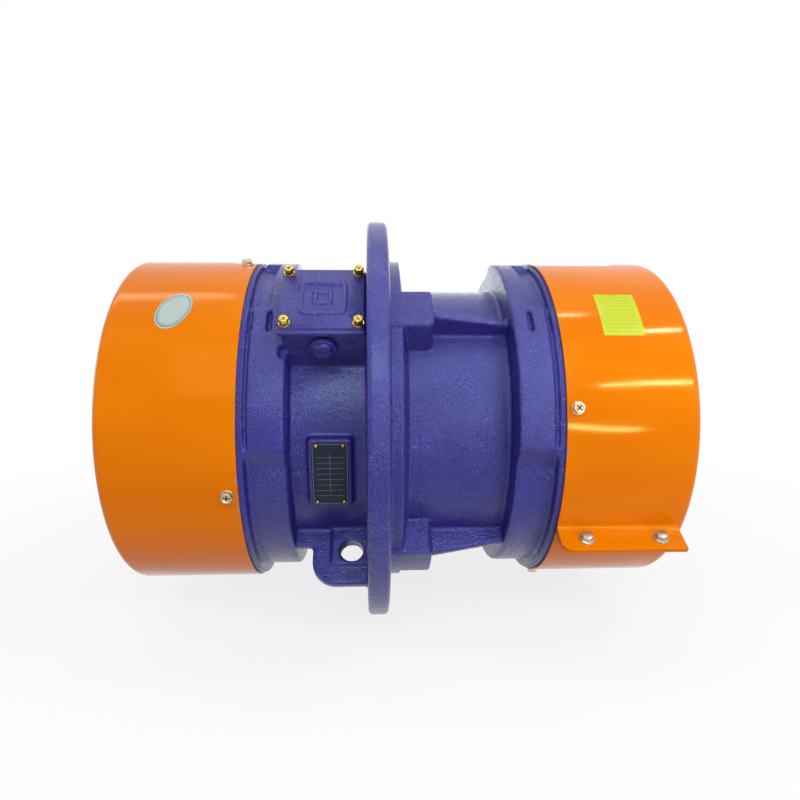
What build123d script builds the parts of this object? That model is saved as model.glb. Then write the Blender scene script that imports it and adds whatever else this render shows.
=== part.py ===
from build123d import *
import os
from math import asin, cos, pi, radians, sin

os.makedirs("parts", exist_ok=True)

# Flange-mounted three-phase vibration motor, lying with its shaft along X.
# Origin: centre of the mounting flange's bolting face. +X points from the flange along the shaft, +Z is up.
# "u" is a distance outward from the motor's middle, the same for both ends.
# Angles about X, called a piece's clock below, start at the top (+Z) and grow towards the front (-Y).

# Radial build-up, from the shaft's bearing seat outward
bearing_bore_r = 32.5
shaft_body_step = 7.5       # shaft body above the bearing seat
shaft_step = 5.0            # core seat above the body, and bearing seat above the shaft's end
rotor_depth = 36.4          # rotor core, shaft to air gap
air_gap = 1.0
core_depth = 42.6           # stator core, bore to back
body_wall = 18.5            # cast tube around the core
housing_step = 19.5         # end housing above the tube
pad_step = 11.0             # raised pad above the housing
cover_proud = 1.0           # weight cover above the pad
collar_proud = 2.6          # flange's collar above the pad
spigot_step = 8.0           # end shield's spigot above the core's seat

# Lengthwise build-up, from the motor's middle outward
mid_x = 11.0                # motor's middle, from the bolting face
core_half = 65.0
end_room = 103.0            # core's end to the casting's machined end face
ring_len = 25.5             # cover ring
pad_len = 37.5              # end housing beside the ring
cover_back = 5.7            # ring's inner face to the cover's open edge
bearing_inset = 12.0        # bearing's inner side, inward of the machined end face

# Casting
cast_fillet = 3.0
foot_round = 4.0
root = 5.0                  # how far ribs and lugs run into the tube
over = 1.0                  # how far a cutting shape runs past the face that it cuts

# Mounting flange and its collar
flange_t = 21.2
flange_round = 5.0
flange_bolts = 8
flange_hole_r = 9.0
bolt_room = 14.4            # collar to the bolt holes
flange_edge = 18.5          # bolt circle to the rim
collar_len = 12.3
collar_slope = 5.5

# Raised pads on the housings
pad_angle = 45.0
pad_half_angle = 45.3
pad_foot_angle = 52.4
groove_depth = 7.5
groove_len = 18.5
groove_first_angle = 11.0
groove_last_angle = 43.0
edge_groove_w = 4.0
edge_groove_depth = 4.0
boss_angle = 49.0
boss_len = 25.0
boss_w = 13.6
boss_slot = 4.4
boss_slot_depth = 5.5

# Ribs and blocks between the flange and the right housing
rib_t = 9.0
rib_above_housing = 8.0
rib_below_housing = 5.0
rib_round = 2.0
block_above_collar = 2.9
block_w = 45.0
block_len = 41.8
block_round = 5.0
rib_angles = (45.0, 135.0, 225.0, 315.0)
back_rib_angle = 225.0

# Lifting lugs
lug_t = 10.0
lug_below_rim = 17.5
lug_len = 54.9
lug_round = 24.0
lug_neck_round = 4.0
lug_web_drop = 2.0          # the web to the housing, below the housing's radius
lug_edge_round = 1.5
lug_angles = (135.0, -45.0)
eye_r = 11.3
eye_rise = 24.0             # eye above the tube
eye_from_flange = 16.0
eye_pad_t = 16.0
eye_pad_wall = 14.6
eye_pad_len = 36.0

# Terminal box
box_angle = 45.0
box_floor_rise = 8.5        # box floor above the tube
box_depth = 30.0
box_wall = 7.5
box_corner = 4.0
box_post_r = 8.5
gland_room = 12.5           # notch in the pad in front of the cable entry
gland_floor_drop = 14.0
gasket_t = 1.5
lid_len = 79.2              # along the shaft
lid_width = 82.4            # across it
lid_gap = 0.4               # lid to flange
lid_overhang = 2.7
lid_t = 7.3
lid_round = 3.0
lid_chamfer = 1.0
lid_skin = 4.0
lid_hollow_margin = 4.0
lid_screw_inset_x = 6.8
lid_screw_inset_y = 8.4
lid_tap_depth = 9.0
emboss_h = 1.2
emboss_side = 44.0
emboss_w = 4.0
emboss_round = 7.0
emboss_core_side = 18.0
emboss_edge = 0.5
wire_hole_r = 9.0

# Terminal board
board_room = 1.3            # board to the lid's screw posts
board_w = 34.0
board_t = 9.0
board_back = 6.0            # board's middle behind the box's middle
board_wall_t = 1.6
board_wall_h = 5.0
stud_margin = 1.0
stud_row_pitch = 17.0
stud_h = 15.0
stud_depth = 5.0
link_t = 1.2
link_w = 7.0

# Cable entry plug
plug_thread_r = 9.8
plug_head_r = 13.0
plug_head_t = 4.0
plug_cap_r = 9.4
plug_cap_t = 3.0
plug_chamfer = 1.0
plug_seal_t = 1.5
plug_seal_inset = 0.4
plug_drop = 0.5             # plug below the middle of the box's wall
plug_dimple_r = 1.6
plug_dimple_depth = 1.5
plug_inside = 2.0

# Nameplate
plate_from_flange = 34.9
plate_w = 34.6
plate_l = 64.0
plate_t = 0.8
plate_angle = 101.5
plate_pad_rise = 4.0
plate_pad_margin = 3.4
plate_pad_root = 12.0
rivet_r = 1.7
rivet_h = 1.2
rivet_grip = 3.5
rivet_inset_x = 4.6
rivet_inset_y = 2.8

# Weight covers: rolled sheet with a bolted seam and a closed outer end
cover_t = 2.0
cover_round = 8.0
cover_fit = 0.3
cover_end_room = 4.5        # shaft end bolt to the cover's end wall
right_screw_angle = 77.9
left_screw_angle = 103.8
seam_angle = 40.8
cover_screw_inset = 9.5
cover_screw_len = 16.0
cover_screws = 4
tab_height = 26.8
tab_round = 11.0
seam_gap = 0.6
seam_bolt_height = 13.5
seam_bolt_first = 25.0
seam_bolt_pitch = 71.0

# Fasteners: thread radius, width across flats, head height
m5_r = 2.5
m5_flats = 8.0
m5_head = 4.0
m6_r = 3.0
m6_flats = 10.0
m6_head = 4.4
m8_r = 4.0
m8_flats = 13.0
m8_head = 5.3
m10_r = 5.0
m10_flats = 16.0
m10_head = 6.4
m12_r = 6.0
m12_flats = 18.0
m12_head = 7.5
head_crown = 0.82           # share of a head's height below its chamfer
washer_t = 1.4
washer_extra = 1.2
spring_t = 1.6
spring_extra = 0.3
tap_spare = 3.0             # tapped hole past the screw's end
thread_play = 0.15
hole_play = 0.4
fit_play = 0.02

# End shields
shield_inset = 7.7          # shield's edge inside the cover ring
shield_t = 12.0
shield_web_in = 5.0
shield_flare = 12.0
spigot_depth = 10.0
hub_wall = 22.0
hub_lip = 3.0               # hub past the bearing
hub_in = 18.0               # hub inward of the machined end face
shield_bolts = 8
shield_bolt_len = 30.0

# Cylindrical roller bearings
bearing_w = 33.0
inner_race_t = 9.0
roller_r = 9.2
roller_play = 0.3
outer_race_t = 9.5
bearing_lip = 3.0
roller_len = 20.0
cage_t = 3.6
cage_web = 2.0
cage_bar = 5.8              # cage between two rollers

# Bearing caps
cap_t = 8.0
cap_play = 0.4
cap_fit = 0.1
cap_inset = 2.0
cap_bevel = 4.0
cap_screw_step = 9.0        # screw circle above the bearing
cap_screws = 4
cap_screw_angle = 45.0

# Rotor
shaft_chamfer = 1.5
end_tap_depth = 26.0
end_bolt_grip = 22.0
slot_count = 24
slot_w = 7.0
yoke_t = 22.6               # core behind the slots
winding_len = 32.0
winding_above_bore = 6.6
winding_wall_gap = 6.0
winding_bevel = 6.0
end_ring_len = 14.0
end_ring_inset = 1.0
end_ring_draft = 2.0
end_ring_w = 24.4

# Eccentric weights
weight_room = 21.0          # weight to the cover
weight_clearance = 2.5      # weight to the bearing cap's screws
weight_t = 23.0
weight_half_angle = 78.0
weight_hub_wall = 18.5
weight_gap = 0.5
end_play = 0.5
weight_play = 0.05
ear_half_w = 24.0
ear_above_hub = 19.0
ear_slit = 3.0
ear_bolt_drop = 12.0
key_w = 10.0
key_h = 6.0
key_len = 20.0
retainer_wall = 6.5
retainer_t = 5.0

# Sizes that follow from the ones above
shaft_body_r = bearing_bore_r + shaft_body_step
shaft_core_r = shaft_body_r + shaft_step
shaft_end_r = bearing_bore_r - shaft_step
rotor_r = shaft_core_r + rotor_depth
stator_inner_r = rotor_r + air_gap
stator_bore_r = stator_inner_r + core_depth
spigot_r = stator_bore_r + spigot_step
body_r = stator_bore_r + body_wall
housing_r = body_r + housing_step
pad_r = housing_r + pad_step
cover_r = pad_r + cover_proud
ring_r = cover_r - cover_t - cover_fit
collar_r = pad_r + collar_proud
flange_pcd = 2 * (collar_r + bolt_room + flange_hole_r)
flange_r = flange_pcd / 2 + flange_edge

frame_half = core_half + end_room
ring_u = frame_half - ring_len
pad_u = ring_u - pad_len
cover_edge_u = ring_u + cover_back
cover_screw_u = cover_edge_u + cover_screw_inset

rib_high_r = housing_r + rib_above_housing
rib_low_r = housing_r - rib_below_housing
block_r = collar_r + block_above_collar
lug_r = flange_r - lug_below_rim
eye_centre_r = body_r + eye_rise
box_x = -flange_t - lid_gap - lid_len / 2
box_half_x = lid_len / 2 - lid_overhang
box_half_y = lid_width / 2 - lid_overhang
box_floor_h = body_r + box_floor_rise
box_rim_h = box_floor_h + box_depth
lid_h = box_rim_h + gasket_t
lid_top = lid_h + lid_t
board_top = box_floor_h + board_t
board_l = lid_len - 2 * (lid_screw_inset_x + box_post_r + board_room)
stud_pitch = (board_l - stud_margin) / 3
plug_h = (box_floor_h + box_rim_h) / 2 - plug_drop
plate_x = -flange_t - plate_from_flange
plate_pad_h = body_r + plate_pad_rise

inner_race_r = bearing_bore_r + inner_race_t
outer_race_r = inner_race_r + 2 * (roller_r + roller_play)
roller_pitch_r = (outer_race_r + inner_race_r) / 2
bearing_r = outer_race_r + outer_race_t
shield_r = ring_r - shield_inset
shield_bolt_r = (spigot_r + shield_r) / 2
shield_hub_r = bearing_r + hub_wall
cap_r = shield_hub_r - cap_inset
cap_screw_r = bearing_r + cap_screw_step
bearing_u = frame_half - bearing_inset
bearing_out_u = bearing_u + bearing_w
hub_in_u = frame_half - hub_in
shield_hub_u = bearing_out_u + hub_lip
roller_u = bearing_u + bearing_w / 2
rollers = int(pi / asin((roller_r + cage_bar / 2) / roller_pitch_r))

shoulder_u = shield_hub_u + cap_t + m8_head + weight_clearance
fixed_weight_u = shoulder_u
swing_weight_u = shoulder_u + weight_t + weight_gap
shaft_half = swing_weight_u + weight_t + end_play
cover_end_u = shaft_half + retainer_t + m12_head + cover_end_room + cover_t
weight_r = cover_r - cover_t - weight_room
weight_hub_r = shaft_end_r + weight_hub_wall
ear_h = weight_hub_r + ear_above_hub
ear_bolt_h = ear_h - ear_bolt_drop
tab_t = 2 * cover_t + seam_gap
tab_r = cover_r + tab_height
seam_bolt_r = cover_r + seam_bolt_height


def turned(points):
    """A solid of revolution about X from (x, radius) points."""
    return revolve(make_face(Polyline(*points, close=True)), Axis.X)


def clocked(shape, clock):
    """Turns a piece modelled at the top of the motor round to its clock angle."""
    return Rot(X=clock) * shape


def ring_of(shape, count, first=0.0):
    """Copies of a piece modelled at the top, evenly round the shaft."""
    return [clocked(shape, first + 360 / count * i) for i in range(count)]


def at_right(shape):
    """Places a piece modelled in u and radius at the motor's right end."""
    return Pos(X=mid_x) * shape


def at_left(shape):
    """Mirrors a piece modelled in u and radius to the motor's left end."""
    return Pos(X=mid_x) * mirror(shape, Plane.YZ)


def turned_about(shape):
    """Turns a right-hand piece end for end, so that it fits the left end."""
    return Pos(X=mid_x) * Rot(Z=180) * shape


def block(x0, x1, y0, y1, z0, z1):
    """A box between two corners."""
    size = Box(x1 - x0, y1 - y0, z1 - z0)
    return Pos((x0 + x1) / 2, (y0 + y1) / 2, (z0 + z1) / 2) * size


def along_x(radius, x0, x1, y=0.0, z=0.0):
    """A round bar along X."""
    return Pos((x0 + x1) / 2, y, z) * Rot(Y=90) * Cylinder(radius, x1 - x0)


def along_y(radius, y0, y1, x=0.0, z=0.0):
    """A round bar along Y."""
    return Pos(x, (y0 + y1) / 2, z) * Rot(X=90) * Cylinder(radius, y1 - y0)


def along_z(radius, z0, z1, x=0.0, y=0.0):
    """A round bar along Z."""
    return Pos(x, y, (z0 + z1) / 2) * Cylinder(radius, z1 - z0)


def plate_at_top(face, thickness):
    """A sketch in (x, height) made a plate of a given thickness, standing over the shaft's axis."""
    return Pos(Y=thickness / 2) * Rot(X=90) * extrude(face, thickness)


def ring_sector(r0, r1, x0, x1, clock0, clock1):
    """A piece of a ring about X, between two clock angles."""
    face = make_face(Polyline((x0, r0), (x1, r0), (x1, r1), (x0, r1), close=True))
    return Rot(X=clock0 + 90) * revolve(face, Axis.X, revolution_arc=clock1 - clock0)


def hex_bolt(thread_r, flats, head, length):
    """A hexagon-head bolt along Z: the head sits on z = 0, the shank runs down."""
    top = extrude(RegularPolygon(flats / 2, 6, major_radius=False), head)
    crown = revolve(make_face(Polyline(
        (0, 0), (flats * 0.60, 0), (flats * 0.60, head * head_crown), (flats * 0.46, head), (0, head),
        close=True)), Axis.Y)
    return (top & (Rot(X=90) * crown)) + along_z(thread_r, -length, head / 2)


def hex_nut(thread_r, flats, height):
    """A hexagon nut along Z, standing on z = 0."""
    return extrude(RegularPolygon(flats / 2, 6, major_radius=False), height) - along_z(
        thread_r + thread_play, -over, height + over)


def washer(thread_r, outer_r, thickness):
    """A plain washer along Z, standing on z = 0."""
    return along_z(outer_r, 0, thickness) - along_z(thread_r + thread_play, -over, thickness + over)


def end_edge(solid, u):
    """The round edges of a turned solid at u."""
    return [e for e in solid.edges().filter_by(GeomType.CIRCLE) if abs(e.center().X - u) < 0.01]


def save(name, *pieces):
    """Writes one sub-part; several pieces of a kind share a file as separate solids."""
    solids = [s for piece in pieces for s in piece.solids()]
    shape = solids[0] if len(solids) == 1 else Compound(children=solids)
    export_step(shape, f"parts/{name}.step")


def save_both_ends(kit):
    """Writes each sub-part of an end, modelled in u, for the right and the left end."""
    for name, pieces in kit.items():
        save(f"right_{name}", *[at_right(p) for p in pieces])
        save(f"left_{name}", *[at_left(p) for p in pieces])


def frame_tube():
    """The turned form of the casting: tube, cover rings, flange and collar."""
    tube = turned([
        (mid_x - frame_half, ring_r), (mid_x - ring_u, ring_r), (mid_x - ring_u, body_r),
        (-flange_t, body_r), (-flange_t, flange_r), (0, flange_r), (0, collar_r), (collar_len, collar_r),
        (collar_len + collar_slope, body_r), (mid_x + ring_u, body_r), (mid_x + ring_u, ring_r),
        (mid_x + frame_half, ring_r), (mid_x + frame_half, spigot_r),
        (mid_x + frame_half - spigot_depth, spigot_r), (mid_x + frame_half - spigot_depth, stator_bore_r),
        (mid_x - frame_half + spigot_depth, stator_bore_r), (mid_x - frame_half + spigot_depth, spigot_r),
        (mid_x - frame_half, spigot_r)])
    rim = [e for e in tube.edges().filter_by(GeomType.CIRCLE) if abs(e.radius - flange_r) < 0.01]
    return fillet(rim, flange_round)


def spot(radius, clock):
    """A point of the cross-section, as (y, z), at a radius and a clock angle."""
    return (-radius * sin(radians(clock)), radius * cos(radians(clock)))


def end_housing():
    """The right end housing in u: a drum with a raised pad whose feet slope back to it."""
    far = pad_r / cos(radians(pad_half_angle / 2)) + over
    foot_r = housing_r - over
    outline = make_face(Polyline(
        (0, 0), spot(foot_r, pad_angle - pad_foot_angle), spot(pad_r, pad_angle - pad_half_angle),
        spot(far, pad_angle - pad_half_angle / 2), spot(far, pad_angle),
        spot(far, pad_angle + pad_half_angle / 2),
        spot(pad_r, pad_angle + pad_half_angle), spot(foot_r, pad_angle + pad_foot_angle), close=True))
    section = Circle(housing_r) + (outline & Circle(pad_r))
    section = fillet(section.vertices(), foot_round)
    drum = Pos(X=pad_u) * extrude(Plane.YZ * section, ring_u - pad_u + over)
    drum = fillet(drum.edges().group_by(Axis.X)[0], cast_fillet)
    return drum - along_x(body_r - over, pad_u - over, ring_u + 2 * over)


def pad_cuts():
    """The grooves beside the cover ring, and the two slots that leave a small flat boss."""
    above = pad_r + root
    groove = ring_sector(pad_r - groove_depth, above, ring_u - groove_len, ring_u,
                         groove_first_angle, groove_last_angle)
    edge_groove = ring_sector(pad_r - edge_groove_depth, above, ring_u - edge_groove_w, ring_u,
                              pad_angle - pad_half_angle, pad_angle + pad_half_angle)
    slots = []
    for x0 in (ring_u - boss_slot, ring_u - 2 * boss_slot - boss_w):
        slot = block(x0, x0 + boss_slot, -boss_len / 2, boss_len / 2, pad_r - boss_slot_depth, above)
        slot = fillet(slot.edges().filter_by(Axis.Z), boss_slot / 2 - fit_play)
        slots.append(clocked(slot, boss_angle))
    return [groove, edge_groove] + slots


def rib(reach):
    """A tapered rib from the flange to an end housing; reach is its length along X."""
    face = make_face(Polyline((0, body_r - root), (reach, body_r - root), (reach, rib_low_r),
                              (block_len, rib_high_r), (0, rib_high_r), close=True))
    plate = plate_at_top(face, rib_t)
    sloping = [e for e in plate.edges() if e.center().Z > rib_low_r and abs(e.center().Y) > rib_t / 4
               and e.center().X > block_len]
    return fillet(sloping, rib_round)


def rib_block():
    """The block at the root of each right-hand rib."""
    body = block(-over, block_len, -block_w / 2, block_w / 2, body_r - root, block_r + root)
    corners = [e for e in body.edges().filter_by(Axis.Z) if e.center().X > block_len - over]
    return fillet(corners, block_round) & along_x(block_r, -over, block_len)


def lifting_lug():
    """A radial plate beside the flange, with a web to the housing and a thicker pad at its eye."""
    x0 = -flange_t - lug_len
    x1 = -flange_t + over
    web_r = housing_r - lug_web_drop
    face = make_face(Polyline(
        (mid_x - pad_u - over, body_r - root), (mid_x - pad_u - over, web_r), (x0, web_r), (x0, lug_r),
        (x1, lug_r), (x1, body_r - root), close=True))
    neck = [v for v in face.vertices() if abs(v.X - x0) < over and abs(v.Y - web_r) < over]
    face = fillet(neck, lug_neck_round)
    corner = [v for v in face.vertices() if abs(v.X - x0) < over and abs(v.Y - lug_r) < over]
    face = fillet(corner, lug_round)
    plate = plate_at_top(face, lug_t)
    rim = [e for e in plate.edges() if abs(abs(e.center().Y) - lug_t / 2) < fit_play
           and e.center().Z > body_r + over and e.center().X > mid_x - pad_u and e.center().X < x1 - over / 2]
    plate = fillet(rim, lug_edge_round)
    pad = block(-flange_t - eye_pad_len, x1, -eye_pad_t / 2, eye_pad_t / 2, body_r - root,
                eye_centre_r + eye_pad_wall)
    corner = [e for e in pad.edges().filter_by(Axis.Y) if e.center().X < x1 - over and e.center().Z > body_r]
    return plate + fillet(corner, lug_neck_round)


def lug_eye():
    """The bar that cuts the lug's eye."""
    return along_y(eye_r, -eye_pad_t, eye_pad_t, x=-flange_t - eye_from_flange, z=eye_centre_r)


def terminal_box():
    """The box walls cast on the tube, modelled at the top."""
    walls = block(box_x - box_half_x, -flange_t + over, -box_half_y, box_half_y, body_r - root, box_rim_h)
    corners = [e for e in walls.edges().filter_by(Axis.Z) if e.center().X < box_x]
    return fillet(corners, box_corner)


def screw_spots():
    """The lid's four screw places, as (x, y)."""
    half_x = lid_len / 2 - lid_screw_inset_x
    half_y = lid_width / 2 - lid_screw_inset_y
    return [(box_x + sx * half_x, sy * half_y) for sx in (-1, 1) for sy in (-1, 1)]


def gland_notch():
    """The notch in the pad that leaves room to turn the cable entry, in front of the box."""
    return block(box_x - lid_len / 2, box_x, -box_half_y - gland_room, -box_half_y,
                 pad_r - gland_floor_drop, box_rim_h)


def terminal_box_cuts():
    """The cavity with its corner posts, tapped holes, cable entry and wire hole."""
    inner_x = box_half_x - box_wall
    inner_y = box_half_y - box_wall
    cavity = block(box_x - inner_x, box_x + inner_x, -inner_y, inner_y, box_floor_h, box_rim_h + over)
    for x, y in screw_spots():
        cavity -= along_z(box_post_r, box_floor_h - over, box_rim_h + 2 * over, x, y)
    cuts = [cavity]
    tap_end = box_rim_h - lid_tap_depth - tap_spare
    for x, y in screw_spots():
        cuts.append(along_z(m5_r + thread_play, tap_end, box_rim_h + over, x, y))
    cuts.append(along_y(plug_thread_r + thread_play, -box_half_y - over, -inner_y + over, x=box_x, z=plug_h))
    cuts.append(along_z(wire_hole_r, stator_bore_r - root, box_floor_h + over, box_x))
    return cuts


def nameplate_pad():
    """The flat pad that the nameplate is riveted to."""
    half_w = plate_w / 2 + plate_pad_margin
    half_l = plate_l / 2 + plate_pad_margin
    pad = block(plate_x - half_w, plate_x + half_w, -half_l, half_l,
                plate_pad_h - plate_pad_root, plate_pad_h)
    pad = fillet(pad.edges().filter_by(Axis.Z), plate_pad_margin)
    return pad - along_x(body_r - over, plate_x - half_w - over, plate_x + half_w + over)


def rivet_spots():
    """The nameplate's four rivet places, as (x, y)."""
    half_w = plate_w / 2 - rivet_inset_x
    half_l = plate_l / 2 - rivet_inset_y
    return [(plate_x + sx * half_w, sy * half_l) for sx in (-1, 1) for sy in (-1, 1)]


def motor_frame():
    """The cast frame, with everything that is cast or machined on it."""
    frame = frame_tube()
    frame += [at_right(end_housing()), at_left(end_housing())]
    frame -= [at_right(cut) for cut in pad_cuts()] + [at_left(cut) for cut in pad_cuts()]
    frame -= clocked(gland_notch(), box_angle)
    frame += [clocked(rib(mid_x + pad_u + over), clock) for clock in rib_angles]
    frame += [clocked(rib_block(), clock) for clock in rib_angles]
    frame += clocked(Rot(Z=180) * rib(pad_u - mid_x + over), back_rib_angle)
    for clock in lug_angles:
        frame += clocked(lifting_lug(), clock)
        frame -= clocked(lug_eye(), clock)
    frame += clocked(terminal_box(), box_angle)
    frame += clocked(nameplate_pad(), plate_angle)
    frame -= along_x(stator_bore_r, mid_x - frame_half, mid_x + frame_half)
    frame -= [clocked(cut, box_angle) for cut in terminal_box_cuts()]
    bolt_hole = along_x(flange_hole_r, -flange_t - over, over, z=flange_pcd / 2)
    frame -= ring_of(bolt_hole, flange_bolts, 180 / flange_bolts)
    shield_hole = along_x(m10_r + thread_play, frame_half + shield_t - shield_bolt_len - tap_spare,
                          frame_half + over, z=shield_bolt_r)
    shield_holes = ring_of(shield_hole, shield_bolts, 180 / shield_bolts)
    frame -= [at_right(h) for h in shield_holes] + [at_left(h) for h in shield_holes]
    screw_hole = along_z(m6_r + thread_play, cover_r + washer_t - cover_screw_len - tap_spare, ring_r + over,
                         cover_screw_u)
    frame -= [at_right(h) for h in ring_of(screw_hole, cover_screws, right_screw_angle)]
    frame -= [turned_about(h) for h in ring_of(screw_hole, cover_screws, 180 - left_screw_angle)]
    rivet_hole = along_z(rivet_r / 2 + thread_play, plate_pad_h - rivet_grip - over, plate_pad_h + over)
    for x, y in rivet_spots():
        frame -= clocked(Pos(x, y) * rivet_hole, plate_angle)
    return frame


def weight_cover():
    """A sheet cup in u, screw holes from clock 0, with its bolted seam at seam_angle."""
    outer = turned([(cover_edge_u, 0), (cover_edge_u, cover_r), (cover_end_u, cover_r), (cover_end_u, 0)])
    inner = turned([(cover_edge_u - over, 0), (cover_edge_u - over, cover_r - cover_t),
                    (cover_end_u - cover_t, cover_r - cover_t), (cover_end_u - cover_t, 0)])
    outer = fillet(end_edge(outer, cover_end_u), cover_round)
    inner = fillet(end_edge(inner, cover_end_u - cover_t), cover_round - cover_t)
    tab_end = cover_end_u - cover_round
    tab = block(cover_edge_u, tab_end, -tab_t / 2, tab_t / 2, cover_r - 1.5 * cover_t, tab_r)
    corner = [e for e in tab.edges().filter_by(Axis.Y)
              if e.center().X < cover_edge_u + over and e.center().Z > tab_r - over]
    tab = fillet(corner, tab_round)
    slit = block(cover_edge_u - over, tab_end + over, -seam_gap / 2, seam_gap / 2, cover_r - 2 * cover_t,
                 tab_r + over)
    bolt_holes = [along_y(m6_r + hole_play, -tab_t, tab_t, x=u, z=seam_bolt_r) for u in seam_bolt_us()]
    cup = outer + clocked(tab, seam_angle) - inner - clocked(slit, seam_angle)
    cup -= [clocked(h, seam_angle) for h in bolt_holes]
    screw_hole = along_z(m6_r + hole_play, cover_r - 2 * cover_t, cover_r + over, cover_screw_u)
    return cup - ring_of(screw_hole, cover_screws)


def seam_bolt_us():
    """The two seam bolts' places along u."""
    first = cover_edge_u + seam_bolt_first
    return [first, first + seam_bolt_pitch]


def seam_bolt_set():
    """The seam's bolts, washers and nuts, in u with the seam at seam_angle."""
    face = tab_t / 2
    bolts, washers, nuts = [], [], []
    for u in seam_bolt_us():
        place = Pos(u, 0, seam_bolt_r)
        bolt = Rot(X=-90) * hex_bolt(m6_r, m6_flats, m6_head, tab_t + washer_t + 2 * m6_head)
        bolts.append(clocked(place * Pos(Y=face + washer_t) * bolt, seam_angle))
        ring = Rot(X=-90) * washer(m6_r, m6_flats / 2 + 2 * washer_extra, washer_t)
        washers.append(clocked(place * Pos(Y=face) * ring, seam_angle))
        nut = Rot(X=90) * hex_nut(m6_r, m6_flats, m6_head)
        nuts.append(clocked(place * Pos(Y=-face) * nut, seam_angle))
    return bolts, washers, nuts


def save_covers():
    """Both covers with their screws, washers and seam bolts."""
    bolts, washers, nuts = seam_bolt_set()
    screw = Pos(cover_screw_u, 0, cover_r + washer_t) * hex_bolt(m6_r, m6_flats, m6_head, cover_screw_len)
    screw_washer = Pos(cover_screw_u, 0, cover_r) * washer(m6_r, m6_flats / 2 + washer_extra, washer_t)
    cover = weight_cover()
    save("right_weight_cover", at_right(clocked(cover, right_screw_angle)))
    save("left_weight_cover", turned_about(clocked(cover, 180 - left_screw_angle)))
    kit = {"cover_screws": ring_of(screw, cover_screws),
           "cover_washers": ring_of(screw_washer, cover_screws),
           "seam_bolts": bolts, "seam_washers": washers, "seam_nuts": nuts}
    for name, pieces in kit.items():
        right = [at_right(clocked(p, right_screw_angle)) for p in pieces]
        left = [turned_about(clocked(p, 180 - left_screw_angle)) for p in pieces]
        save(name, *right, *left)


def emboss_ring(side, corner):
    """A raised square ring on the lid's top, with round corners."""
    outer = fillet(Rectangle(side, side).vertices(), corner)
    hole_side = side - 2 * emboss_w
    inner = fillet(Rectangle(hole_side, hole_side).vertices(), max(corner - emboss_w, emboss_edge))
    ring = Pos(box_x, 0, lid_top - over) * extrude(outer - inner, emboss_h + over)
    return fillet(ring.faces().sort_by(Axis.Z)[-1].edges(), emboss_edge)


def terminal_lid():
    """The lid with its hollow underside, screw holes and two plain raised rings."""
    half_x, half_y = lid_len / 2, lid_width / 2
    lid = block(box_x - half_x, box_x + half_x, -half_y, half_y, lid_h, lid_top)
    lid = fillet(lid.edges().filter_by(Axis.Z), lid_round)
    lid = chamfer(lid.faces().sort_by(Axis.Z)[-1].edges(), lid_chamfer)
    hollow_x = box_half_x - box_wall - lid_hollow_margin
    hollow_y = box_half_y - box_wall - lid_hollow_margin
    lid -= block(box_x - hollow_x, box_x + hollow_x, -hollow_y, hollow_y, lid_h - over, lid_top - lid_skin)
    lid += emboss_ring(emboss_side, emboss_round)
    lid += emboss_ring(emboss_core_side, emboss_w / 2)
    for x, y in screw_spots():
        lid -= along_z(m5_r + hole_play, lid_h - over, lid_top + over, x, y)
    return lid


def lid_gasket():
    """The flat rubber gasket under the lid."""
    inner_x = box_half_x - box_wall
    inner_y = box_half_y - box_wall
    sheet = block(box_x - box_half_x, box_x + box_half_x, -box_half_y, box_half_y, box_rim_h, lid_h)
    opening = block(box_x - inner_x, box_x + inner_x, -inner_y, inner_y, box_rim_h - over, lid_h + over)
    for x, y in screw_spots():
        opening -= along_z(box_post_r, box_rim_h - 2 * over, lid_h + 2 * over, x, y)
    sheet -= opening
    for x, y in screw_spots():
        sheet -= along_z(m5_r + hole_play, box_rim_h - over, lid_h + over, x, y)
    return sheet


def save_terminal_box():
    """Everything that is fitted to the terminal box."""
    grip = lid_t + gasket_t + spring_t + washer_t
    lid_bolt = hex_bolt(m5_r, m5_flats, m5_head, grip + lid_tap_depth)
    flat = washer(m5_r, m5_flats / 2 + washer_extra, washer_t)
    spring = washer(m5_r, m5_flats / 2 + spring_extra, spring_t)
    stack = {"lid_washers": (flat, lid_top), "lid_spring_washers": (spring, lid_top + washer_t),
             "lid_screws": (lid_bolt, lid_top + washer_t + spring_t)}
    for name, (piece, height) in stack.items():
        save(name, *[clocked(Pos(x, y, height) * piece, box_angle) for x, y in screw_spots()])
    save("terminal_lid", clocked(terminal_lid(), box_angle))
    save("terminal_gasket", clocked(lid_gasket(), box_angle))
    save_terminal_board()
    save_cable_entry()


def save_cable_entry():
    """The blanking plug in the cable entry, and its seal."""
    seat = -box_half_y - plug_seal_t
    head_face = seat - plug_head_t
    cap_face = head_face - plug_cap_t
    plug = along_y(plug_thread_r, seat - over / 2, -box_half_y + box_wall + plug_inside, x=box_x, z=plug_h)
    plug += along_y(plug_head_r, head_face, seat, x=box_x, z=plug_h)
    cap = along_y(plug_cap_r, cap_face, head_face + over / 2, x=box_x, z=plug_h)
    plug += chamfer(cap.edges().filter_by(GeomType.CIRCLE).sort_by(Axis.Y)[0], plug_chamfer)
    plug -= along_y(plug_dimple_r, cap_face - over, cap_face + plug_dimple_depth, x=box_x, z=plug_h)
    seal = along_y(plug_head_r - plug_seal_inset, seat, -box_half_y, x=box_x, z=plug_h)
    seal -= along_y(plug_thread_r + thread_play, seat - over, -box_half_y + over, x=box_x, z=plug_h)
    save("cable_entry_plug", clocked(plug, box_angle))
    save("cable_entry_seal", clocked(seal, box_angle))


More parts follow.
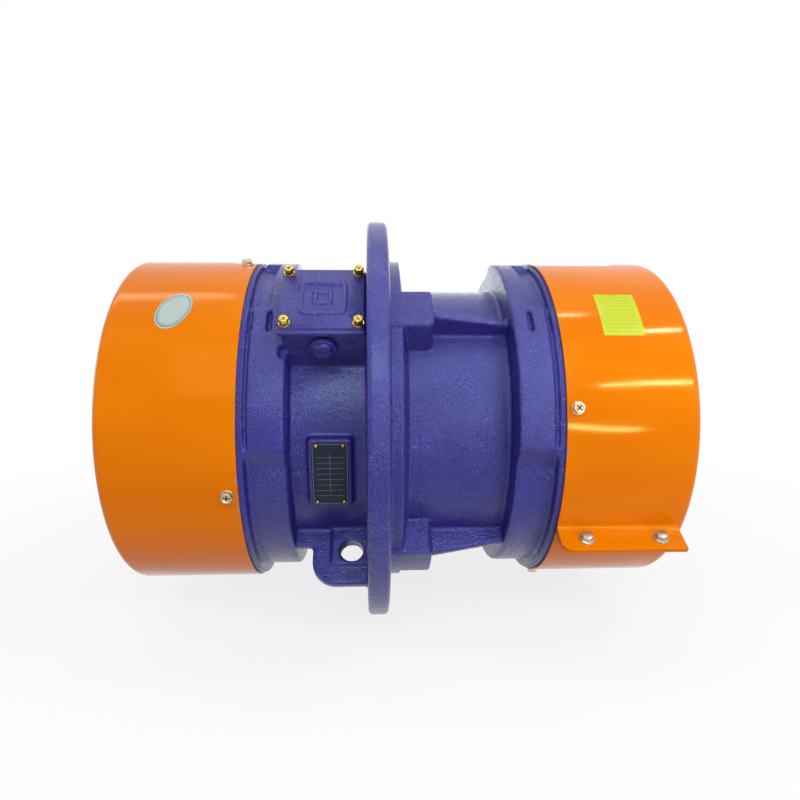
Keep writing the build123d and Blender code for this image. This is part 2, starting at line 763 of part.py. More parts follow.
def save_terminal_board():
    """The six-stud terminal board with its links and nuts."""
    y0, y1 = board_back - board_w / 2, board_back + board_w / 2
    board = block(box_x - board_l / 2, box_x + board_l / 2, y0, y1, box_floor_h, board_top)
    board -= along_z(wire_hole_r + over, box_floor_h - over, box_floor_h + board_t / 2, box_x)
    for side in (-0.5, 0.5):
        x = box_x + side * stud_pitch
        board += block(x - board_wall_t / 2, x + board_wall_t / 2, y0, y1, board_top - over,
                       board_top + board_wall_h)
    rows = [board_back - stud_row_pitch / 2, board_back + stud_row_pitch / 2]
    studs, links, nuts = [], [], []
    for x in [box_x + stud_pitch * i for i in (-1, 0, 1)]:
        link = block(x - link_w / 2, x + link_w / 2, rows[0] - link_w / 2, rows[1] + link_w / 2,
                     board_top, board_top + link_t)
        for y in rows:
            board -= along_z(m5_r + fit_play, board_top - stud_depth, board_top + over, x, y)
            link -= along_z(m5_r + thread_play, board_top - over, board_top + link_t + over, x, y)
            studs.append(along_z(m5_r, board_top - stud_depth, board_top + stud_h, x, y))
            nuts.append(Pos(x, y, board_top + link_t) * hex_nut(m5_r, m5_flats, m5_head))
        links.append(link)
    kit = {"terminal_board": [board], "terminal_studs": studs, "terminal_links": links, "terminal_nuts": nuts}
    for name, pieces in kit.items():
        save(name, *[clocked(p, box_angle) for p in pieces])


def save_nameplate():
    """The blank nameplate and its rivets."""
    top = plate_pad_h + plate_t
    plate = block(plate_x - plate_w / 2, plate_x + plate_w / 2, -plate_l / 2, plate_l / 2, plate_pad_h, top)
    rivets = []
    for x, y in rivet_spots():
        plate -= along_z(rivet_r / 2 + thread_play, plate_pad_h - over, top + over, x, y)
        dome = Sphere(rivet_r) & block(-rivet_r, rivet_r, -rivet_r, rivet_r, 0, rivet_h)
        shank = along_z(rivet_r / 2, plate_pad_h - rivet_grip, top + rivet_h / 2, x, y)
        rivets.append(Pos(x, y, top) * dome + shank)
    save("nameplate", clocked(plate, plate_angle))
    save("nameplate_rivets", *[clocked(r, plate_angle) for r in rivets])


def end_shield():
    """The bearing shield in u: bolting rim, spigot and hub."""
    rim_out = frame_half + shield_t
    ledge_r = spigot_r - shield_flare
    shield = turned([
        (hub_in_u, bearing_r + fit_play), (hub_in_u, shield_hub_r),
        (frame_half - shield_web_in, shield_hub_r + shield_flare), (frame_half - shield_web_in, ledge_r),
        (frame_half - spigot_depth, ledge_r), (frame_half - spigot_depth, spigot_r - fit_play),
        (frame_half, spigot_r - fit_play), (frame_half, shield_r), (rim_out, shield_r),
        (rim_out, shield_hub_r + shield_flare), (shield_hub_u, shield_hub_r),
        (shield_hub_u, bearing_r + fit_play)])
    bolt_hole = along_x(m10_r + hole_play, frame_half - over, rim_out + over, z=shield_bolt_r)
    shield -= ring_of(bolt_hole, shield_bolts, 180 / shield_bolts)
    cap_hole = along_x(m8_r + hole_play, hub_in_u - over, shield_hub_u + over, z=cap_screw_r)
    return shield - ring_of(cap_hole, cap_screws, cap_screw_angle)


def bearing_caps():
    """The inner and outer bearing caps in u."""
    spigot = bearing_r - cap_fit
    lip_r = outer_race_r + over
    inner_face = hub_in_u - cap_t
    outer_face = shield_hub_u + cap_t
    inner = turned([
        (inner_face, shaft_body_r + cap_play), (inner_face, cap_r), (hub_in_u, cap_r), (hub_in_u, spigot),
        (bearing_u, spigot), (bearing_u, lip_r), (hub_in_u, lip_r), (hub_in_u, shaft_body_r + cap_play)])
    outer = turned([
        (outer_face, bearing_bore_r + cap_play), (outer_face, cap_r - cap_bevel),
        (outer_face - cap_bevel / 2, cap_r), (shield_hub_u, cap_r), (shield_hub_u, spigot),
        (bearing_out_u, spigot), (bearing_out_u, lip_r), (shield_hub_u, lip_r),
        (shield_hub_u, bearing_bore_r + cap_play)])
    through = along_x(m8_r + hole_play, shield_hub_u - over, outer_face + over, z=cap_screw_r)
    tapped = along_x(m8_r + thread_play, inner_face - over, hub_in_u + over, z=cap_screw_r)
    return (inner - ring_of(tapped, cap_screws, cap_screw_angle),
            outer - ring_of(through, cap_screws, cap_screw_angle))


def outward(bolt, u, radius):
    """Sets a Z bolt to point its head outward along u, with its head's seat at u."""
    return Pos(u, 0, radius) * Rot(Y=90) * bolt


def bearing():
    """Outer ring, inner ring, cage and rollers of one bearing, in u."""
    u0, u1 = bearing_u, bearing_out_u
    track0 = roller_u - roller_len / 2 - roller_play
    track1 = roller_u + roller_len / 2 + roller_play
    outer = turned([(u0, outer_race_r - bearing_lip), (u0, bearing_r), (u1, bearing_r),
                    (u1, outer_race_r - bearing_lip), (track1, outer_race_r - bearing_lip),
                    (track1, outer_race_r), (track0, outer_race_r), (track0, outer_race_r - bearing_lip)])
    inner = turned([(u0, bearing_bore_r + fit_play), (u0, inner_race_r), (u1, inner_race_r),
                    (u1, bearing_bore_r + fit_play)])
    roller = along_x(roller_r, roller_u - roller_len / 2, roller_u + roller_len / 2, z=roller_pitch_r)
    cage_half = roller_len / 2 + cage_web + 2 * roller_play
    cage = along_x(roller_pitch_r + cage_t / 2, roller_u - cage_half, roller_u + cage_half)
    cage -= along_x(roller_pitch_r - cage_t / 2, roller_u - cage_half - over, roller_u + cage_half + over)
    cage -= ring_of(along_x(roller_r + roller_play, track0, track1, z=roller_pitch_r), rollers)
    return outer, inner, cage, ring_of(roller, rollers)


def save_bearing_ends():
    """Shields, caps, bearings and their screws at both ends."""
    inner_cap, outer_cap = bearing_caps()
    outer_ring, inner_ring, cage, roller_set = bearing()
    save_both_ends({"end_shield": [end_shield()],
                    "inner_bearing_cap": [inner_cap], "outer_bearing_cap": [outer_cap],
                    "bearing_outer_ring": [outer_ring], "bearing_inner_ring": [inner_ring],
                    "bearing_cage": [cage], "bearing_rollers": roller_set})
    shield_bolt = outward(hex_bolt(m10_r, m10_flats, m10_head, shield_bolt_len), frame_half + shield_t,
                          shield_bolt_r)
    cap_grip = shield_hub_u - hub_in_u + 2 * cap_t
    cap_screw = outward(hex_bolt(m8_r, m8_flats, m8_head, cap_grip - over), shield_hub_u + cap_t, cap_screw_r)
    for name, pieces in {"shield_bolts": ring_of(shield_bolt, shield_bolts, 180 / shield_bolts),
                         "bearing_cap_screws": ring_of(cap_screw, cap_screws, cap_screw_angle)}.items():
        save(name, *[at_right(p) for p in pieces], *[at_left(p) for p in pieces])


def save_stator():
    """The slotted core and the winding heads at both ends of it."""
    core = turned([(-core_half, stator_inner_r), (-core_half, stator_bore_r - fit_play),
                   (core_half, stator_bore_r - fit_play), (core_half, stator_inner_r)])
    slot = block(-core_half - over, core_half + over, -slot_w / 2, slot_w / 2, stator_inner_r - root,
                 stator_bore_r - yoke_t)
    save("stator_core", at_right(core - ring_of(slot, slot_count)))
    inner_r = stator_inner_r + winding_above_bore
    outer_r = stator_bore_r - winding_wall_gap
    end = core_half + winding_len
    head = turned([
        (core_half, inner_r), (core_half, outer_r - winding_bevel), (core_half + 2 * winding_bevel, outer_r),
        (end - winding_bevel, outer_r), (end, outer_r - winding_bevel), (end, inner_r + winding_bevel),
        (end - winding_bevel, inner_r)])
    save_both_ends({"winding": [head]})


def save_rotor():
    """Shaft, rotor core and end rings."""
    ring_end = core_half + end_ring_len
    half = [(0, 0), (0, shaft_core_r), (ring_end, shaft_core_r), (ring_end, shaft_body_r),
            (bearing_u, shaft_body_r), (bearing_u, bearing_bore_r), (shoulder_u, bearing_bore_r),
            (shoulder_u, shaft_end_r), (shaft_half - shaft_chamfer, shaft_end_r),
            (shaft_half, shaft_end_r - shaft_chamfer), (shaft_half, 0)]
    end_hole = along_x(m12_r + thread_play, shaft_half - end_tap_depth, shaft_half + over)
    right_half = turned(half) - end_hole - key_seat()
    save("shaft", at_right(right_half) + at_left(right_half))
    core = turned([(-core_half, shaft_core_r + fit_play), (-core_half, rotor_r), (core_half, rotor_r),
                   (core_half, shaft_core_r + fit_play)])
    save("rotor_core", at_right(core))
    ring_outer_r = rotor_r - end_ring_inset
    ring_bore_r = ring_outer_r - end_ring_w
    ring = turned([(core_half, ring_bore_r), (core_half, ring_outer_r),
                   (ring_end, ring_outer_r - end_ring_draft), (ring_end, ring_bore_r + end_ring_draft)])
    save_both_ends({"rotor_end_ring": [ring]})


def key_seat():
    """The keyway that the fixed weight's key sits in, in u."""
    start = fixed_weight_u + (weight_t - key_len) / 2
    return block(start, start + key_len, -key_w / 2, key_w / 2, -shaft_end_r - over, -shaft_end_r + key_h / 2)


def eccentric_weight(u0, bore_play):
    """A sector weight hanging down from a split hub, in u."""
    right_tip = spot(weight_r, 180 + weight_half_angle)
    left_tip = spot(weight_r, 180 - weight_half_angle)
    pie = make_face(Line((0, 0), right_tip) + ThreePointArc(right_tip, (0, -weight_r), left_tip)
                    + Line(left_tip, (0, 0)))
    ears = Pos(0, ear_h / 2) * Rectangle(2 * ear_half_w, ear_h)
    outline = pie + Circle(weight_hub_r) + ears - Circle(shaft_end_r + bore_play)
    outline -= Pos(0, ear_h / 2) * Rectangle(ear_slit, ear_h + 2 * over)
    plate = Pos(X=u0) * extrude(Plane.YZ * outline, weight_t)
    return plate - along_y(m10_r + hole_play, -ear_half_w - over, ear_half_w + over, x=u0 + weight_t / 2,
                           z=ear_bolt_h)


def clamp_bolt(u0):
    """The pinch bolt and nut through a weight's ears, in u."""
    place = Pos(u0 + weight_t / 2, 0, ear_bolt_h)
    bolt = place * Pos(Y=ear_half_w) * Rot(X=-90) * hex_bolt(
        m10_r, m10_flats, m10_head, 2 * ear_half_w + m10_head + 2 * over)
    nut = place * Pos(Y=-ear_half_w) * Rot(X=90) * hex_nut(m10_r, m10_flats, m10_head)
    return [bolt, nut]


def save_weights():
    """Fixed and adjustable eccentric weights at both ends, with what holds them."""
    start = fixed_weight_u + (weight_t - key_len) / 2
    key = block(start, start + key_len, -key_w / 2 + fit_play, key_w / 2 - fit_play,
                -shaft_end_r - key_h / 2, -shaft_end_r + key_h / 2 - fit_play)
    fixed = eccentric_weight(fixed_weight_u, fit_play)
    fixed -= block(fixed_weight_u - over, fixed_weight_u + weight_t + over, -key_w / 2, key_w / 2,
                   -shaft_end_r - key_h / 2 - fit_play, -shaft_end_r + key_h)
    retainer = along_x(shaft_end_r + retainer_wall, shaft_half, shaft_half + retainer_t)
    retainer -= along_x(m12_r + hole_play, shaft_half - over, shaft_half + retainer_t + over)
    end_bolt = outward(hex_bolt(m12_r, m12_flats, m12_head, retainer_t + end_bolt_grip),
                       shaft_half + retainer_t, 0)
    save_both_ends({"fixed_weight": [fixed], "fixed_weight_clamp": clamp_bolt(fixed_weight_u),
                    "fixed_weight_key": [key],
                    "adjustable_weight": [eccentric_weight(swing_weight_u, weight_play)],
                    "adjustable_weight_clamp": clamp_bolt(swing_weight_u),
                    "shaft_end_plate": [retainer], "shaft_end_bolt": [end_bolt]})


save("motor_frame", motor_frame())
save_covers()
save_terminal_box()
save_nameplate()
save_bearing_ends()
save_stator()
save_rotor()
save_weights()
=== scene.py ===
"""Dresses a flange-mounted vibration motor: paint, plated fasteners, blank labels and a photo stage."""
from math import cos, pi, radians, sin

import bmesh
import bpy
from mathutils import Matrix, Vector


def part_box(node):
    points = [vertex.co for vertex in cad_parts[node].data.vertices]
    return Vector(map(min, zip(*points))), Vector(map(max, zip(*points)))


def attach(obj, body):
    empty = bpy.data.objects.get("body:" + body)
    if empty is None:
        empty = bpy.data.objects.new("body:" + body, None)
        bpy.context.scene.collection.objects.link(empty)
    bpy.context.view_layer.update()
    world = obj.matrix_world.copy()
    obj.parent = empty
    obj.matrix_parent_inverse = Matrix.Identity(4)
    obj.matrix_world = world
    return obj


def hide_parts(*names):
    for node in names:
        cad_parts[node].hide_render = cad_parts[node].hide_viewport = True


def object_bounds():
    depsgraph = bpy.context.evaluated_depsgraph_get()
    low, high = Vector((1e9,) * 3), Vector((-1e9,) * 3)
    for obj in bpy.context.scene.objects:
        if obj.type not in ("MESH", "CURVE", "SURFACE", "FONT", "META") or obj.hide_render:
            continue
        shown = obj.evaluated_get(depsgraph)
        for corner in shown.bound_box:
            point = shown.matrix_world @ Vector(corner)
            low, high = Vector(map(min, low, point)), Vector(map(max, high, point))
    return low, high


bl_info = {
    "name": "Vibration motor dresser",
    "version": (1, 0, 0),
    "blender": (4, 5, 0),
    "location": "3D View > Sidebar > Vibration motor",
    "description": "Finishes, labels and stage for a flange-mounted vibration motor",
    "category": "Object",
}

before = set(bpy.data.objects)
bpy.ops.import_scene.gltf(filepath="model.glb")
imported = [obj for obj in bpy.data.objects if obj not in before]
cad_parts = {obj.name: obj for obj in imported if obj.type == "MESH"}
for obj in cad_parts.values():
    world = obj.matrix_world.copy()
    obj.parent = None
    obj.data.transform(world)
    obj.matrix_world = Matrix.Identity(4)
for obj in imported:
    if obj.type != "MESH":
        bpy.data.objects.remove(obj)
CAD_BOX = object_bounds()
MM = 0.001


def node_spans(name):
    """Lowest and highest corner of a CAD node at rest, in metres."""
    low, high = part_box(name)
    return Vector(low), Vector(high)


RIGHT_COVER = node_spans("right_weight_cover")
LEFT_COVER = node_spans("left_weight_cover")
COVER_RADIUS = RIGHT_COVER[1].z
MIDDLE_X = (LEFT_COVER[1].x + RIGHT_COVER[0].x) / 2
COVER_EDGE = (RIGHT_COVER[0].x - LEFT_COVER[1].x) / 2

# Fasteners: across flats, head height, shank radius
M5 = (8 * MM, 4.0 * MM, 2.5 * MM)
M6 = (10 * MM, 4.4 * MM, 3.0 * MM)
FLAT_WASHER = 1.4 * MM
SHEET_WALL = 2 * MM
LABEL_FILM = 0.12 * MM


# Properties

class MotorPaint(bpy.types.PropertyGroup):
    """Colours of the motor's finishes, as sRGB hex values."""
    casting: bpy.props.StringProperty(
        name="Casting enamel", default="#33268B", description="Blue-violet enamel on the castings")
    # deeper enamel in large random patches, and painted shade in the grains' hollows
    casting_deep_and_shade: bpy.props.StringProperty(
        name="Casting deep patches and painted hollow shade", default="#211460",
        description="Deeper enamel in patches, and painted shade in the grains' hollows")
    # painted glints: a paler colour on the tops of the grains
    casting_painted_glint: bpy.props.StringProperty(
        name="Casting painted glints", default="#9096DE", description="Painted glints on the tops of the grains")
    sheet: bpy.props.StringProperty(
        name="Cover enamel", default="#E27700", description="Orange enamel on the weight covers")
    sheet_deep: bpy.props.StringProperty(
        name="Cover enamel, thick", default="#DC6F00",
        description="The orange where the coat is thicker")
    primer: bpy.props.StringProperty(
        name="Primer in the chips", default="#8D8796",
        description="Grey primer where the orange has chipped")
    yellow_zinc: bpy.props.StringProperty(
        name="Yellow zinc", default="#D2AE4C", description="Passivated zinc on the small screws")
    worn_zinc: bpy.props.StringProperty(
        name="Worn zinc", default="#CDC4AC", description="Thin yellow zinc on the covers' screws")
    pale_zinc: bpy.props.StringProperty(
        name="Pale zinc", default="#C9C6BC", description="Plain zinc on the seam bolts")
    plate_ground: bpy.props.StringProperty(
        name="Nameplate ground", default="#18222F", description="Dark ground of the blank nameplate")
    plate_line: bpy.props.StringProperty(
        name="Nameplate lines", default="#6E7C96", description="Bare metal rules on the nameplate")
    label_yellow: bpy.props.StringProperty(
        name="Yellow label", default="#B9C008", description="Ground of the square label")
    label_line: bpy.props.StringProperty(
        name="Label lines", default="#98A426", description="Thin rules printed on the square label")
    sticker_white: bpy.props.StringProperty(
        name="Oval sticker", default="#AFB8B4", description="Ground of the oval sticker")
    sticker_ring: bpy.props.StringProperty(
        name="Sticker ring", default="#2B7A78", description="Ring printed near the sticker's edge")


class MotorSizes(bpy.types.PropertyGroup):
    """Sizes of the dressed details."""
    casting_grain: bpy.props.FloatProperty(
        name="Sand grain", default=1.5 * MM, unit="LENGTH", description="Grain of the sand-cast skin")
    casting_edge: bpy.props.FloatProperty(
        name="Casting edge", default=1.8 * MM, unit="LENGTH",
        description="Rounding of the casting's edges")
    label_width: bpy.props.FloatProperty(
        name="Label width", default=39 * MM, unit="LENGTH", description="Square label along the shaft")
    label_length: bpy.props.FloatProperty(
        name="Label length", default=53 * MM, unit="LENGTH", description="Square label round the cover")
    label_inset: bpy.props.FloatProperty(
        name="Label inset", default=41 * MM, unit="LENGTH", description="Cover edge to the label")
    label_clock: bpy.props.FloatProperty(
        name="Label angle", default=radians(46.2), subtype="ANGLE",
        description="Middle of the label, from the top towards the front")
    sticker_length: bpy.props.FloatProperty(
        name="Sticker length", default=46 * MM, unit="LENGTH", description="Long axis of the oval")
    sticker_width: bpy.props.FloatProperty(
        name="Sticker width", default=30 * MM, unit="LENGTH", description="Short axis of the oval")
    sticker_inset: bpy.props.FloatProperty(
        name="Sticker inset", default=63 * MM, unit="LENGTH",
        description="Cover edge to the oval's middle")
    sticker_clock: bpy.props.FloatProperty(
        name="Sticker angle", default=radians(45.2), subtype="ANGLE",
        description="Middle of the oval, from the top towards the front")
    sticker_tilt: bpy.props.FloatProperty(
        name="Sticker tilt", default=radians(71), subtype="ANGLE",
        description="Turn of the oval's long axis from the shaft's direction")


class MotorStage(bpy.types.PropertyGroup):
    """Camera and floor."""
    camera_distance: bpy.props.FloatProperty(
        name="Camera distance", default=0.728, unit="LENGTH", description="Camera to the shaft's axis")
    camera_x: bpy.props.FloatProperty(
        name="Camera offset", default=-0.0168, unit="LENGTH",
        description="Camera's place along the shaft")
    camera_rise: bpy.props.FloatProperty(
        name="Camera rise", default=radians(9.9), subtype="ANGLE", description="Camera above the shaft")
    camera_yaw: bpy.props.FloatProperty(
        name="Camera yaw", default=radians(2.60), subtype="ANGLE", description="Turn to the right")
    camera_pitch: bpy.props.FloatProperty(
        name="Camera pitch", default=radians(1.52), subtype="ANGLE", description="Tilt up from the axis")
    camera_roll: bpy.props.FloatProperty(
        name="Camera roll", default=radians(-0.32), subtype="ANGLE", description="Turn about the view")
    camera_lens: bpy.props.FloatProperty(
        name="Lens", default=28.02, subtype="DISTANCE_CAMERA",
        description="Focal length on a 36 mm sensor")
    floor_size: bpy.props.FloatProperty(
        name="Floor", default=60.0, unit="LENGTH", description="Side of the floor")


def paint():
    """The scene's colours."""
    return bpy.context.scene.motor_paint


def sizes():
    """The scene's detail sizes."""
    return bpy.context.scene.motor_sizes


# Materials

def linear(hex_code):
    """An sRGB hex colour as linear RGBA."""
    parts = [int(hex_code[i:i + 2], 16) / 255 for i in (1, 3, 5)]
    return [p / 12.92 if p <= 0.04045 else ((p + 0.055) / 1.055) ** 2.4 for p in parts] + [1.0]


def add(tree, kind, settings=None, links=None, out=0):
    """Adds a shader node with its settings and links (input: output) and returns one of its outputs."""
    new = tree.nodes.new(f"ShaderNode{kind}")
    for key, value in (settings or {}).items():
        if isinstance(key, int) or key in new.inputs:
            new.inputs[key].default_value = value
        else:
            setattr(new, key, value)
    for key, output in (links or {}).items():
        tree.links.new(output, new.inputs[key])
    return new.outputs[out] if len(new.outputs) else None


def blank_material(name):
    """An empty node material, its tree and its object coordinates."""
    material = bpy.data.materials.new(name)
    material.use_nodes = True
    tree = material.node_tree
    tree.nodes.clear()
    return material, tree, add(tree, "TexCoord", out="Object")


def enamelled_casting():
    """Gloss enamel sprayed over a sand-cast skin: pebbled, with sharp glints partly painted on the grain
    tops, painted shade in the grains' hollows, and calmer patches.
    """
    material, tree, place = blank_material("gloss_enamel_on_sand_casting")
    grain = sizes().casting_grain
    enamel, hollow = linear(paint().casting), linear(paint().casting_deep_and_shade)
    pebbles = add(tree, "TexNoise", {"Scale": 1 / grain, "Detail": 2.5, "Roughness": 0.55},
                  {"Vector": place})
    swells = add(tree, "TexNoise", {"Scale": 1 / (grain * 8), "Detail": 2.0}, {"Vector": place})
    pools = add(tree, "TexNoise", {"Scale": 1 / (grain * 32), "Detail": 3.0}, {"Vector": place})
    calm = add(tree, "TexNoise", {"Scale": 1 / (grain * 50), "Detail": 1.0}, {"Vector": place})
    calm = add(tree, "MapRange", {"From Min": 0.40, "From Max": 0.60, "To Min": 0.35}, {"Value": calm})
    height = add(tree, "Math", {"operation": "MULTIPLY"}, {0: pebbles, 1: calm})
    edge = add(tree, "Bevel", {"samples": 4, "Radius": sizes().casting_edge})
    swollen = add(tree, "Bump", {"Strength": 0.6, "Distance": 1.2 * MM},
                  {"Height": swells, "Normal": edge})
    skin = add(tree, "Bump", {"Strength": 1.0, "Distance": 1.3 * MM},
               {"Height": height, "Normal": swollen})
    gloss = add(tree, "Bump", {"Strength": 1.0, "Distance": 1.2 * MM},
                {"Height": height, "Normal": swollen})
    # Painted shade: the deep colour in the low points of the grain, darker where the bump dips.
    raised = add(tree, "MapRange", {"From Min": 0.36, "From Max": 0.58}, {"Value": pebbles})
    colour = add(tree, "Mix", {"data_type": "RGBA", 6: hollow, 7: enamel}, {"Factor": raised}, 2)
    # Painted glints: the paler colour on the highest grain tops, fewer in the calm patches.
    tops = add(tree, "MapRange", {"From Min": 0.56, "From Max": 0.72, "To Max": 0.35},
               {"Value": pebbles})
    tops = add(tree, "Math", {"operation": "MULTIPLY"}, {0: tops, 1: calm})
    colour = add(tree, "Mix", {"data_type": "RGBA", 7: linear(paint().casting_painted_glint)},
                 {"Factor": tops, 6: colour}, 2)
    # Large random patches of deeper enamel, in the same deep colour.
    pools = add(tree, "MapRange", {"From Min": 0.35, "From Max": 0.65, "To Max": 0.3}, {"Value": pools})
    colour = add(tree, "Mix", {"data_type": "RGBA", 7: hollow}, {"Factor": pools, 6: colour}, 2)
    rough = add(tree, "MapRange", {"From Min": 0.40, "From Max": 0.66, "To Min": 0.40, "To Max": 0.16},
                {"Value": pebbles})
    shader = add(tree, "BsdfPrincipled",
                 {"IOR": 1.5, "Specular IOR Level": 0.5, "Specular Tint": linear("#A8C8FF"),
                  "Coat Weight": 0.35, "Coat Roughness": 0.06},
                 {"Base Color": colour, "Roughness": rough, "Normal": skin, "Coat Normal": gloss})
    add(tree, "OutputMaterial", {}, {"Surface": shader})
    return material


def enamelled_sheet():
    """Gloss enamel on rolled sheet: long soft waves, faint orange peel and chips along the open edge."""
    material, tree, place = blank_material("gloss_enamel_on_rolled_sheet")
    chipped = COVER_EDGE + 3.0 * MM
    enamel, deep, primer = [linear(hue) for hue in (paint().sheet, paint().sheet_deep, paint().primer)]
    along = add(tree, "Mapping", {"Scale": (0.35, 1.0, 1.0)}, {"Vector": place})
    waves = add(tree, "TexNoise", {"Scale": 1 / (60 * MM), "Detail": 1.0}, {"Vector": along})
    peel = add(tree, "TexNoise", {"Scale": 1 / (3.5 * MM), "Detail": 2.0}, {"Vector": place})
    normal = add(tree, "Bump", {"Strength": 0.6, "Distance": 3.5 * MM}, {"Height": waves})
    normal = add(tree, "Bump", {"Strength": 0.6, "Distance": 0.04 * MM},
                 {"Height": peel, "Normal": normal})
    thick = add(tree, "MapRange", {"From Min": 0.35, "From Max": 0.65}, {"Value": waves})
    colour = add(tree, "Mix", {"data_type": "RGBA", 6: enamel, 7: deep}, {"Factor": thick}, 2)
    x = add(tree, "SeparateXYZ", {}, {"Vector": place})
    from_middle = add(tree, "Math", {"operation": "SUBTRACT", 1: MIDDLE_X}, {0: x})
    from_middle = add(tree, "Math", {"operation": "ABSOLUTE"}, {0: from_middle})
    limit = add(tree, "MapRange", {"From Min": COVER_EDGE + 0.4 * MM, "From Max": chipped,
                                   "To Min": 0.40, "To Max": 0.26}, {"Value": from_middle})
    chips = add(tree, "TexNoise", {"Scale": 1 / (11 * MM), "Detail": 3.0, "Roughness": 0.7},
                {"Vector": place})
    bare = add(tree, "Math", {"operation": "LESS_THAN"}, {0: chips, 1: limit})
    near = add(tree, "Math", {"operation": "LESS_THAN", 1: chipped}, {0: from_middle})
    bare = add(tree, "Math", {"operation": "MULTIPLY"}, {0: bare, 1: near})
    colour = add(tree, "Mix", {"data_type": "RGBA", 7: primer}, {"Factor": bare, 6: colour}, 2)
    haze = add(tree, "TexNoise", {"Scale": 1 / (30 * MM), "Detail": 3.0}, {"Vector": place})
    rough = add(tree, "MapRange", {"From Min": 0.3, "From Max": 0.7, "To Min": 0.10, "To Max": 0.15},
                {"Value": haze})
    shader = add(tree, "BsdfPrincipled",
                 {"IOR": 1.5, "Specular IOR Level": 0.2, "Specular Tint": linear("#FFDE5A"),
                  "Coat Weight": 0.04, "Coat Roughness": 0.04},
                 {"Base Color": colour, "Roughness": rough, "Normal": normal, "Coat Normal": normal})
    add(tree, "OutputMaterial", {}, {"Surface": shader})
    return material


def metal(name, colour, rough, grain, depth=0.02, second=None, metallic=1.0, gloss=0.5):
    """A bare or plated metal: clouded colour, roughness that follows it and a fine tool texture."""
    material, tree, place = blank_material(name)
    clouds = add(tree, "TexNoise", {"Scale": 1 / (grain * 6), "Detail": 3.0}, {"Vector": place})
    fine = add(tree, "TexNoise", {"Scale": 1 / grain, "Detail": 2.0}, {"Vector": place})
    settings = {"Base Color": linear(colour), "Metallic": metallic, "Specular IOR Level": gloss}
    links = {
        "Roughness": add(tree, "MapRange", {"From Min": 0.3, "From Max": 0.7, "To Min": rough * 0.8,
                                            "To Max": min(1.0, rough * 1.25)}, {"Value": clouds}),
        "Normal": add(tree, "Bump", {"Strength": 0.6, "Distance": depth * MM}, {"Height": fine})}
    if second:
        share = add(tree, "MapRange", {"From Min": 0.35, "From Max": 0.65}, {"Value": clouds})
        both = {"data_type": "RGBA", 6: linear(colour), 7: linear(second)}
        links["Base Color"] = add(tree, "Mix", both, {"Factor": share}, 2)
    shader = add(tree, "BsdfPrincipled", settings, links)
    add(tree, "OutputMaterial", {}, {"Surface": shader})
    return material


def plain_coat(name, colour, rough, grain, depth=0.03, second=None, gloss=0.3):
    """Rubber, moulding or print: a matt or satin coat with slight clouds and a fine grain."""
    return metal(name, colour, rough, grain, depth, second, 0.0, gloss)


def ringed_metal(name, colour, rough, pitch, second):
    """Metal turned on a lathe or stacked from laminations: fine rings across the shaft's axis."""
    material, tree, place = blank_material(name)
    rings = add(tree, "TexWave", {"bands_direction": "X", "Scale": 0.5 / pitch, "Distortion": 0.4,
                                  "Detail": 1.0}, {"Vector": place}, "Fac")
    clouds = add(tree, "TexNoise", {"Scale": 1 / (14 * MM), "Detail": 2.0}, {"Vector": place})
    shader = add(tree, "BsdfPrincipled", {"Metallic": 1.0}, {
        "Base Color": add(tree, "Mix", {"data_type": "RGBA", 6: linear(colour), 7: linear(second)},
                          {"Factor": rings}, 2),
        "Roughness": add(tree, "MapRange", {"From Min": 0.3, "From Max": 0.7, "To Min": rough * 0.8,
                                            "To Max": rough * 1.2}, {"Value": clouds}),
        "Normal": add(tree, "Bump", {"Strength": 0.5, "Distance": 0.05 * MM}, {"Height": rings})})
    add(tree, "OutputMaterial", {}, {"Surface": shader})
    return material


def wound_wire():
    """Varnished copper wire: strands round the shaft, darker between them."""
    material, tree, place = blank_material("varnished_copper_wire")
    strands = add(tree, "TexWave", {"bands_direction": "X", "Scale": 0.5 / (1.6 * MM), "Distortion": 3.0,
                                    "Detail": 1.5, "Detail Scale": 0.4}, {"Vector": place}, "Fac")
    shader = add(tree, "BsdfPrincipled", {"Metallic": 0.7, "Coat Weight": 0.5}, {
        "Base Color": add(tree, "Mix", {"data_type": "RGBA", 6: linear("#4A2414"), 7: linear("#B5673A")},
                          {"Factor": strands}, 2),
        "Roughness": add(tree, "MapRange", {"To Min": 0.5, "To Max": 0.28}, {"Value": strands}),
        "Normal": add(tree, "Bump", {"Strength": 0.8, "Distance": 0.4 * MM}, {"Height": strands})})
    add(tree, "OutputMaterial", {}, {"Surface": shader})
    return material


def both_ends(*names):
    """The left and right node of each name."""
    return [f"{end}_{name}" for name in names for end in ("left", "right")]


